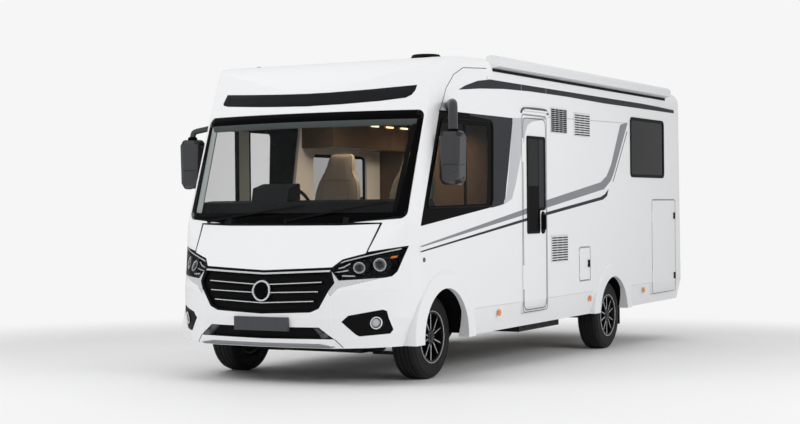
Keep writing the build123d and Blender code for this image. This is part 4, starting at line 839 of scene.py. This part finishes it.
def side_line(name, points, radius, finish, side=LEFT, body=COACH):
    """A thin line laid on a side, seen from that side."""
    laid = []
    for a, b in zip(points, points[1:]):
        cuts = max(1, math.ceil(math.dist(a, b) / SIDE_STEP))
        for k in range(cuts + 1):
            t = k / cuts
            start = (a[0] + (b[0] - a[0]) * t, side * RAY_START_Y, a[1] + (b[1] - a[1]) * t)
            found = hit(coach_trees, start, (0, -side, 0))
            if found:
                laid.append(UNTURN @ found[0])
    tube(name, laid, radius, finish, body, steps=2)


CAP_SEAM = [(-0.850, 2.700), (-0.372, 2.672), (-0.186, 2.600), (-0.037, 2.474), (0.061, 2.308), (0.100, 2.268)]
SKIRT_SPANS = [(-0.575, -1.605), (-2.235, -3.45), (-4.62, -5.30), (-6.18, -6.33)]
SKIRT_SPANS_RIGHT = [(-0.575, -3.45), (-4.62, -6.33)]
SKIRT_LINE_Z = 0.567
for label, side in SIDES:
    side_line(f"cap_seam_{label}", CAP_SEAM, 0.003, "shade_and_joint_dark", side)
    for number, span in enumerate(SKIRT_SPANS if side == LEFT else SKIRT_SPANS_RIGHT):
        side_line(f"skirt_line_{label}_{number}", [(x, SKIRT_LINE_Z) for x in span], 0.0018, "decal_pale", side)
# A dark strip under the awning cassette paints the shade in the gap there
side_slab("awning_gap", box_outline(-5.80, -0.98, 2.684, 2.709), -0.02, 0.028, "shade_and_joint_dark")
NOZZLE = [(0.020, -0.004), (0.020, 0.004), (0.016, 0.008), (0.005, 0.009)]
lathe("wing_nozzle", NOZZLE, (0.400, HALF_WIDTH, 1.030), (0, 1, 0), "satin_grey")

# Mirrors: a curved arm with a collar, the shell with a seam round it, and the two glasses behind, an even grey that
# paints their reflection
MIRROR_X = 0.170
MIRROR_Y = 1.325
SHELL_HALF = 0.0625
SHELL_FRONT = rounded([(1.228, 1.652), (1.407, 1.652), (1.418, 2.090), (1.222, 2.090)], 0.045)
MIRROR_ARMS = {
    "left": ([(-0.100, 1.150, 2.300), (-0.020, 1.200, 2.325), (0.090, 1.280, 2.340), (0.155, 1.318, 2.315),
              (0.170, 1.325, 2.230), (0.170, 1.325, 2.085)], 0.040),
    "right": ([(0.136, -1.140, 2.200), (0.148, -1.210, 2.186), (0.160, -1.300, 2.172), (0.168, -1.322, 2.150),
               (0.170, -1.325, 2.100)], 0.026),
}
PANE_BACKS = (0.0635, 0.0655)
COLLAR = [(0.030, -0.014), (0.043, -0.004), (0.044, 0.008), (0.034, 0.022)]
COLLAR_Z = 2.100
SEAM_Z = 1.815
SEAM_RING = rounded([(0.0632, 1.224), (0.0632, 1.416), (-0.0632, 1.416), (-0.0632, 1.224)], 0.04)
# The mirror panes are an opaque even grey: a painted reflection, not a mirrored surface
mirror_glass = glazing("mirror_glass", (0.30, 0.32, 0.34), 1.0, 1.0, 0.05)
for label, side in SIDES:
    tube(f"mirror_arm_{label}", *MIRROR_ARMS[label], "mirror_shell", steps=6, smooth=True)
    lathe(f"mirror_collar_{label}", COLLAR, (MIRROR_X, side * MIRROR_Y, COLLAR_Z), (0, 0, 1), "gloss_black")
    form = block_form("mirror_shell", SHELL_FRONT, -SHELL_HALF, SHELL_HALF,
                      lambda u, v, w: (MIRROR_X + w, side * u, v), 0.030, 5)
    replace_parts(piece(f"mirror_shell_{label}", form, "mirror_shell"), "mirrors")
    seam_line = [(MIRROR_X + x, side * y, SEAM_Z) for x, y in SEAM_RING]
    tube(f"mirror_seam_{label}", seam_line, 0.0016, "gloss_black", closed=True)
    for name, low, high in (("main", 1.830, 2.060), ("wide", 1.690, 1.800)):
        pane = rounded([(1.242, low), (1.400, low), (1.400, high), (1.242, high)], 0.02)
        points = [(MIRROR_X - back, side * y, z) for back in PANE_BACKS for y, z in pane]
        flat_piece(f"mirror_pane_{name}_{label}", points, prism_faces(len(pane)), mirror_glass)

# Wheels: machined edges on the spokes, a bright flange, a hub cap, bolts, and rings on the tyre's side
WHEELS = [("front", 0.0, 0.915, 0.358), ("rear", -4.0342, 0.985, 0.27702)]
FACE_OUT = 0.0985
SPOKE_ROOT = 0.0660
SPOKE_INNER = 0.030
SPOKE_OUTER = 0.206
SPOKE_HALF = 0.0105
STRIP_INNER = 0.066
STRIP_OUTER = 0.213
STRIP_HALF = 0.0034
STRIP_TURN = math.radians(3)
PAIR_HALF_DEG = 13
SPOKE_PAIRS = 5
SPOKE_BEVEL = 0.0015


def bars(name, hub, side, body, inner, outer, half, low, high, splay, material):
    """Straight bars over the spokes, between two radii and two depths, turned apart a little."""
    points = []
    faces = []
    for pair_index in range(SPOKE_PAIRS):
        for lean in (-1, 1):
            turn = math.radians(360 / SPOKE_PAIRS * pair_index + lean * PAIR_HALF_DEG)
            far_turn = turn + lean * splay
            start = len(points)
            for level in (low, high):
                for r, w, t in ((inner, -half, turn), (outer, -half, far_turn), (outer, half, far_turn),
                                (inner, half, turn)):
                    points.append((hub[0] + r * math.cos(t) + w * math.sin(t), hub[1] + side * level,
                                   hub[2] - r * math.sin(t) + w * math.cos(t)))
            faces += [tuple(start + i for i in f) for f in ((0, 1, 2, 3), (4, 5, 6, 7), (0, 1, 5, 4), (1, 2, 6, 5),
                                                            (2, 3, 7, 6), (3, 0, 4, 7))]
    flat_piece(name, points, faces, material, body, SPOKE_BEVEL)


def spokes(name, hub, side, body):
    """Deep black spokes on the part's own, each with a bright machined ridge."""
    bars(name, hub, side, body, SPOKE_INNER, SPOKE_OUTER, SPOKE_HALF, SPOKE_ROOT, FACE_OUT, STRIP_TURN, "rim_black")
    bars(name + "_ridge", hub, side, body, STRIP_INNER, STRIP_OUTER, STRIP_HALF, FACE_OUT - 0.003, FACE_OUT + 0.003,
         STRIP_TURN, "rim_bright")


RING_STEPS = 72
BOLT_CIRCLE = 0.050
BOLT = [(0.008, -0.010), (0.008, 0.005), (0.006, 0.007), (0.001, 0.007)]
TYRE_RINGS = (0.240, 0.262, 0.322)
TYRE_RING_OUT = 0.1095
RIM_FLANGE = [(0.2170, 0.1100), (0.2235, 0.1100), (0.2232, 0.1128), (0.2210, 0.1138), (0.2180, 0.1130)]
HUB_RING = [(0.034, FACE_OUT - 0.002), (0.038, FACE_OUT + 0.001), (0.036, FACE_OUT + 0.004), (0.032, FACE_OUT + 0.003)]
HUB_CAP = [(0.033, FACE_OUT - 0.002), (0.032, FACE_OUT + 0.003), (0.020, FACE_OUT + 0.006), (0.004, FACE_OUT + 0.007)]
WHEEL_TURNINGS = [("rim_flange", RIM_FLANGE, "rim_bright", RING_STEPS, True),
                  ("hub_ring", HUB_RING, "satin_grey", 40, True), ("hub_cap", HUB_CAP, "rim_black", 40, False)]
for end, x, y, z in WHEELS:
    for label, side in SIDES:
        body = f"wheel_{end}_{label}"
        hub = (x, side * y, z)
        axis = (0, side, 0)
        spokes(f"spokes_{end}_{label}", hub, side, body)
        for name, profile, finish, steps, ring in WHEEL_TURNINGS:
            lathe(f"{name}_{end}_{label}", profile, hub, axis, finish, body, steps, ring)
        for number in range(SPOKE_PAIRS):
            turn = math.radians(360 / SPOKE_PAIRS * (number + 0.5))
            spot = (x + BOLT_CIRCLE * math.cos(turn), side * (y + FACE_OUT - 0.002), z - BOLT_CIRCLE * math.sin(turn))
            lathe(f"wheel_bolt_{end}_{label}_{number}", BOLT, spot, axis, "satin_grey", body, steps=6)
        for number, r in enumerate(TYRE_RINGS):
            turns = [math.tau * k / RING_STEPS for k in range(RING_STEPS)]
            ring = [(x + r * math.cos(t), side * (y + TYRE_RING_OUT), z + r * math.sin(t)) for t in turns]
            tube(f"tyre_ring_{end}_{label}_{number}", ring, 0.0022, "tyre", body, closed=True, steps=1)

# Padded pieces: blocks with soft edges, swollen by a short cloth simulation, with seams laid on them after
SIM_FRAMES = 20
SIM_PRESSURE = 4.0
PAD_CAP = 0.012
PIPING = 0.0035
STITCH = 0.002
SEAM_STEP = 0.02


def worked_mesh(made):
    """The mesh of an object with its modifiers worked in, and the modifiers gone."""
    mesh = bpy.data.meshes.new_from_object(made.evaluated_get(bpy.context.evaluated_depsgraph_get()))
    made.modifiers.clear()
    made.data = mesh
    return mesh


def swollen(name, mesh, voxel):
    """The mesh remeshed evenly and blown up by a cloth simulation, with no point moved further than the cap."""
    made = put(name + "_work", mesh)
    add_modifier(made, "REMESH", mode="VOXEL", voxel_size=voxel)
    even = worked_mesh(made)
    rest = [vert.co.copy() for vert in even.vertices]
    cloth = add_modifier(made, "CLOTH")
    cloth.settings.use_pressure = True
    cloth.settings.uniform_pressure_force = SIM_PRESSURE
    cloth.settings.effector_weights.gravity = 0
    cloth.point_cache.frame_start = 1
    cloth.point_cache.frame_end = SIM_FRAMES
    for number in range(1, SIM_FRAMES + 1):
        bpy.context.scene.frame_set(number)
    even = worked_mesh(made)
    for vert, start in zip(even.vertices, rest):
        move = vert.co - start
        if move.length > PAD_CAP:
            vert.co = start + move.normalized() * PAD_CAP
    bpy.context.scene.frame_set(1)
    bpy.data.objects.remove(made)
    return even


def cushion(name, mesh, node):
    """A padded piece that stands for a node, and the tree of its surface."""
    made = piece(name, mesh, "cloth_beige")
    tree = BVHTree.FromObject(made, bpy.context.evaluated_depsgraph_get())
    add_modifier(made, "SUBSURF", levels=1, render_levels=1)
    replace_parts(made, node)
    return tree


def seam(name, points, tree, radius=STITCH, closed=False):
    """A sewn line laid on a padded piece."""
    if closed:
        points = points + points[:1]
    laid = []
    for a, b in zip(points, points[1:]):
        cuts = max(1, math.ceil(math.dist(a, b) / SEAM_STEP))
        for k in range(cuts):
            spot = STANCE @ Vector(a).lerp(Vector(b), k / cuts)
            laid.append(UNTURN @ tree.find_nearest(spot)[0])
    if not closed:
        laid.append(UNTURN @ tree.find_nearest(STANCE @ Vector(points[-1]))[0])
    tube(name, laid, radius, "piping", closed=closed, steps=1)


def rigid_base(name, outline, low, high, place, node, finish, soft=0.008):
    """The hard part under a padded piece."""
    made = piece(name, block_form(name, outline, low, high, place, soft, 2), finish, smooth=False)
    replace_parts(made, node)


# Cab seats
SEAT_X = -0.560
SEAT_Y = 0.400
SEAT_FOOT_Z = 1.115
SEAT_TOP_Z = 2.000
SEAT_REAR = -0.808
BACK_THICK = 0.110
LEAN = 0.195 / 0.890
BACK_THIN = 0.3
SEAT_PLAN = rounded([(-0.250, -0.232), (0.246, -0.232), (0.246, 0.232), (-0.250, 0.232)], 0.06, 3)
BACK_FRONT = [(-0.205, 1.150), (0.205, 1.150), (0.238, 1.300), (0.242, 1.600), (0.215, 1.720), (0.150, 1.800),
              (0.138, 1.920), (0.110, 1.985), (-0.110, 1.985), (-0.138, 1.920), (-0.150, 1.800), (-0.215, 1.720),
              (-0.242, 1.600), (-0.238, 1.300)]


def back_place(y0):
    """Where a point of a seat's back goes: (across, height, depth) with the back's lean and taper."""
    def place(u, v, w):
        rise = v - SEAT_FOOT_Z
        thin = 1 - BACK_THIN * rise / (SEAT_TOP_Z - SEAT_FOOT_Z)
        return (SEAT_REAR - rise * LEAN + w * thin, y0 + u, v)
    return place


PAD_VOXEL = 0.012
BENCH_VOXEL = 0.014
BED_VOXEL = 0.028
FOOT_PLAN = rounded([(-0.17, -0.17), (0.17, -0.17), (0.17, 0.17), (-0.17, 0.17)], 0.03, 3)
seat_form = block_form("seat_cushion", SEAT_PLAN, 1.062, 1.168, lambda u, v, w: (SEAT_X + u, SEAT_Y + v, w), 0.032)
seat_mesh = swollen("seat_cushion", seat_form, PAD_VOXEL)
back_form = block_form("seat_back", BACK_FRONT, 0.0, BACK_THICK, back_place(SEAT_Y), 0.028)
back_mesh = swollen("seat_back", back_form, PAD_VOXEL)
for label, side in SIDES:
    y0 = SEAT_Y * side
    shift = Matrix.Translation((0, y0 - SEAT_Y, 0))
    for part, source in (("cushion", seat_mesh), ("back", back_mesh)):
        mesh = source.copy()
        mesh.transform(shift)
        tree = cushion(f"seat_{part}_{label}", mesh, "cab_seats")
        if part == "cushion":
            rim = [(SEAT_X + u, y0 + v, 1.150) for u, v in SEAT_PLAN]
            seam(f"seat_piping_{label}", rim, tree, PIPING, closed=True)
            for number, y in enumerate((-0.14, 0.14)):
                line = [(SEAT_X - 0.10, y0 + y, 1.2), (SEAT_X + 0.22, y0 + y, 1.2)]
                seam(f"seat_seam_{label}_{number}", line, tree)
        else:
            place = back_place(y0)
            rim = [place(u * 0.97, v, BACK_THICK) for u, v in BACK_FRONT]
            seam(f"back_piping_{label}", rim, tree, PIPING, closed=True)
            for number, v in enumerate((1.40, 1.74)):
                seam(f"back_seam_{label}_{number}", [place(u, v, 0.2) for u in (-0.17, 0.17)], tree)
            for number, u in enumerate((-0.15, 0.15)):
                seam(f"back_welt_{label}_{number}", [place(u, v, 0.2) for v in (1.20, 1.72)], tree)
    rigid_base(f"seat_foot_{label}", FOOT_PLAN, 0.704, 1.055, lambda u, v, w: (SEAT_X + u, y0 + v, w), "cab_seats",
               "leather_dash")

# Dinette bench and rear bed
BENCH_SEAM_YS = (-0.90, -0.66)
BED_SEAMS = 5
BED_REAR = -6.255
BED_FRONT = -4.500


def level(u, v, w):
    """A plan point at a height."""
    return (u, v, w)


def pad(name, outline, low, high, soft, voxel, node):
    """A swollen pad over a plan, between two heights, and the tree of its surface."""
    return cushion(name, swollen(name, block_form(name, outline, low, high, level, soft), voxel), node)


rigid_base("bench_box", box_outline(-1.955, -1.385, -1.120, -0.435), 0.484, 0.880, level, "dinette", "walnut")
bench_plan = rounded(box_outline(-1.820, -1.400, -1.105, -0.450), 0.05, 3)
bench_tree = pad("bench_cushion", bench_plan, 0.896, 0.994, 0.03, BENCH_VOXEL, "dinette")
seam("bench_piping", [(u, v, 0.980) for u, v in bench_plan], bench_tree, PIPING, closed=True)
for number, y in enumerate(BENCH_SEAM_YS):
    seam(f"bench_seam_{number}", [(-1.79, y, 1.03), (-1.43, y, 1.03)], bench_tree)
rest_plan = rounded(box_outline(-1.940, -1.848, -1.105, -0.450), 0.035, 3)
rest_tree = pad("bench_back", rest_plan, 0.900, 1.512, 0.03, BENCH_VOXEL, "dinette")
for number, y in enumerate(BENCH_SEAM_YS):
    seam(f"bench_back_seam_{number}", [(-1.80, y, 0.96), (-1.80, y, 1.46)], rest_tree)
seam("bench_back_piping", [(-1.850, y, z) for y, z in box_outline(-1.09, -0.465, 0.92, 1.495)], rest_tree, PIPING,
     closed=True)
rigid_base("bed_board", box_outline(-6.300, -4.452, -1.125, 1.125), 1.522, 1.558, level, "rear_bed", "walnut", 0.004)
bed_plan = rounded(box_outline(BED_REAR, BED_FRONT, -1.080, 1.080), 0.08, 3)
bed_tree = pad("mattress", bed_plan, 1.574, 1.676, 0.035, BED_VOXEL, "rear_bed")
for number, z in enumerate((1.590, 1.662)):
    seam(f"mattress_piping_{number}", [(u, v, z) for u, v in bed_plan], bed_tree, 0.004, closed=True)
for number in range(BED_SEAMS):
    x = BED_REAR + (BED_FRONT - BED_REAR) * (number + 1) / (BED_SEAMS + 1)
    seam(f"mattress_seam_{number}", [(x, -1.0, 1.75), (x, 1.0, 1.75)], bed_tree)

# Lit strips on the lockers, seen through the windscreen
locker_glow = glow("locker_glow", (1.0, 0.72, 0.42), 2.2)
for number, x in enumerate((-2.30, -2.62, -2.94)):
    tube(f"locker_light_{number}", [(x, -0.752, 2.300), (x + 0.14, -0.752, 2.300)], 0.009, locker_glow)

# Camera, lights, floor
CAMERA_PLACE = (14.4137, 7.029, 1.244)
CAMERA_TURN = (math.radians(90.773), 0, math.radians(118.189))
LENS_MM = 69.78
SENSOR_MM = 36
camera_data = bpy.data.cameras.new("camera")
camera_data.lens = LENS_MM
camera_data.sensor_width = SENSOR_MM
camera = put("camera", camera_data)
camera.location = CAMERA_PLACE
camera.rotation_euler = CAMERA_TURN
bpy.context.scene.camera = camera

Softbox = namedtuple("Softbox", "name place aim width height power colour")
NEUTRAL = (1, 1, 1)
WARM = (1.0, 0.80, 0.58)
SOFTBOXES = [
    Softbox("key", (9.0, -3.5, 6.5), (2.5, 0, 1.2), 6, 4, 320, NEUTRAL),
    Softbox("side_fill", (3.0, 10.0, 5.0), (0, 0, 1.4), 8, 4, 430, NEUTRAL),
    Softbox("rear_fill", (-9.0, -5.0, 5.0), (-2, 0, 1.4), 6, 4, 160, NEUTRAL),
    Softbox("top", (0, 0, 8.0), (0, 0, 0), 9, 5, 130, NEUTRAL),
    Softbox("cab_lamp", (1.6, 0, 2.36), (1.6, 0, 0), 0.5, 0.9, 14, WARM),
    Softbox("cabin_lamp", (-0.6, 0, 2.36), (-0.6, 0, 0), 1.6, 0.5, 30, WARM),
]
for entry in SOFTBOXES:
    lamp_data = bpy.data.lights.new(entry.name, "AREA")
    lamp_data.shape = "RECTANGLE"
    lamp_data.size = entry.width
    lamp_data.size_y = entry.height
    lamp_data.energy = entry.power
    lamp_data.color = entry.colour
    lamp = put(entry.name, lamp_data)
    lamp.location = entry.place
    lamp.rotation_euler = (Vector(entry.aim) - Vector(entry.place)).to_track_quat("-Z", "Y").to_euler()
    lamp.visible_glossy = False

# The world lights the object at one level, shows in gloss at another, and is the pale backdrop
AMBIENT = 0.55
IN_GLOSS = 0.60
BACKDROP = 0.92
world = bpy.data.worlds.new("studio")
bpy.context.scene.world = world
world.use_nodes = True
tree = world.node_tree
sky = tree.nodes["Background"]
path = add_node(tree, "LightPath").outputs
shown = math_node(tree, "MAXIMUM", path["Is Camera Ray"], path["Is Transmission Ray"])
unseen = mapped(tree, path["Is Glossy Ray"], {"To Min": AMBIENT, "To Max": IN_GLOSS})
strength = add_node(tree, "MapRange", {"To Max": BACKDROP}, {"Value": shown, "To Min": unseen})
tree.links.new(strength.outputs["Result"], sky.inputs["Strength"])
sky.inputs["Color"].default_value = (1, 1, 1, 1)

FLOOR_HALF = 60
FLOOR_FADE_START = 4.3
FLOOR_FADE_END = 8.0
floor_mesh = bpy.data.meshes.new("floor")
floor_mesh.from_pydata([(-FLOOR_HALF, -FLOOR_HALF, 0), (FLOOR_HALF, -FLOOR_HALF, 0), (FLOOR_HALF, FLOOR_HALF, 0),
                        (-FLOOR_HALF, FLOOR_HALF, 0)], [], [(0, 1, 2, 3)])
put("floor", floor_mesh)
floor_paint, tree, shader = new_material("floor_paint")
field = noise(tree, 2.0)
tinted(tree, field, (0.86, 0.86, 0.865), 0.985, shader.inputs["Base Color"])
vary(tree, field, 0.55, 0.65, shader.inputs["Roughness"])
distance = add_node(tree, "VectorMath", {}, {0: object_place(tree)}, operation="LENGTH")
fade = mapped(tree, distance.outputs["Value"], {"From Min": FLOOR_FADE_START, "From Max": FLOOR_FADE_END},
              interpolation_type="SMOOTHSTEP")
seen = math_node(tree, "MULTIPLY", fade, add_node(tree, "LightPath").outputs["Is Camera Ray"])
backdrop = add_node(tree, "Emission", {"Color": (1, 1, 1, 1), "Strength": BACKDROP})
blend = add_node(tree, "MixShader", {}, {0: seen, 1: shader.outputs[0], 2: backdrop.outputs[0]})
tree.links.new(blend.outputs[0], tree.nodes["Material Output"].inputs["Surface"])
floor_mesh.materials.append(floor_paint)

bpy.context.scene.view_settings.view_transform = "Standard"
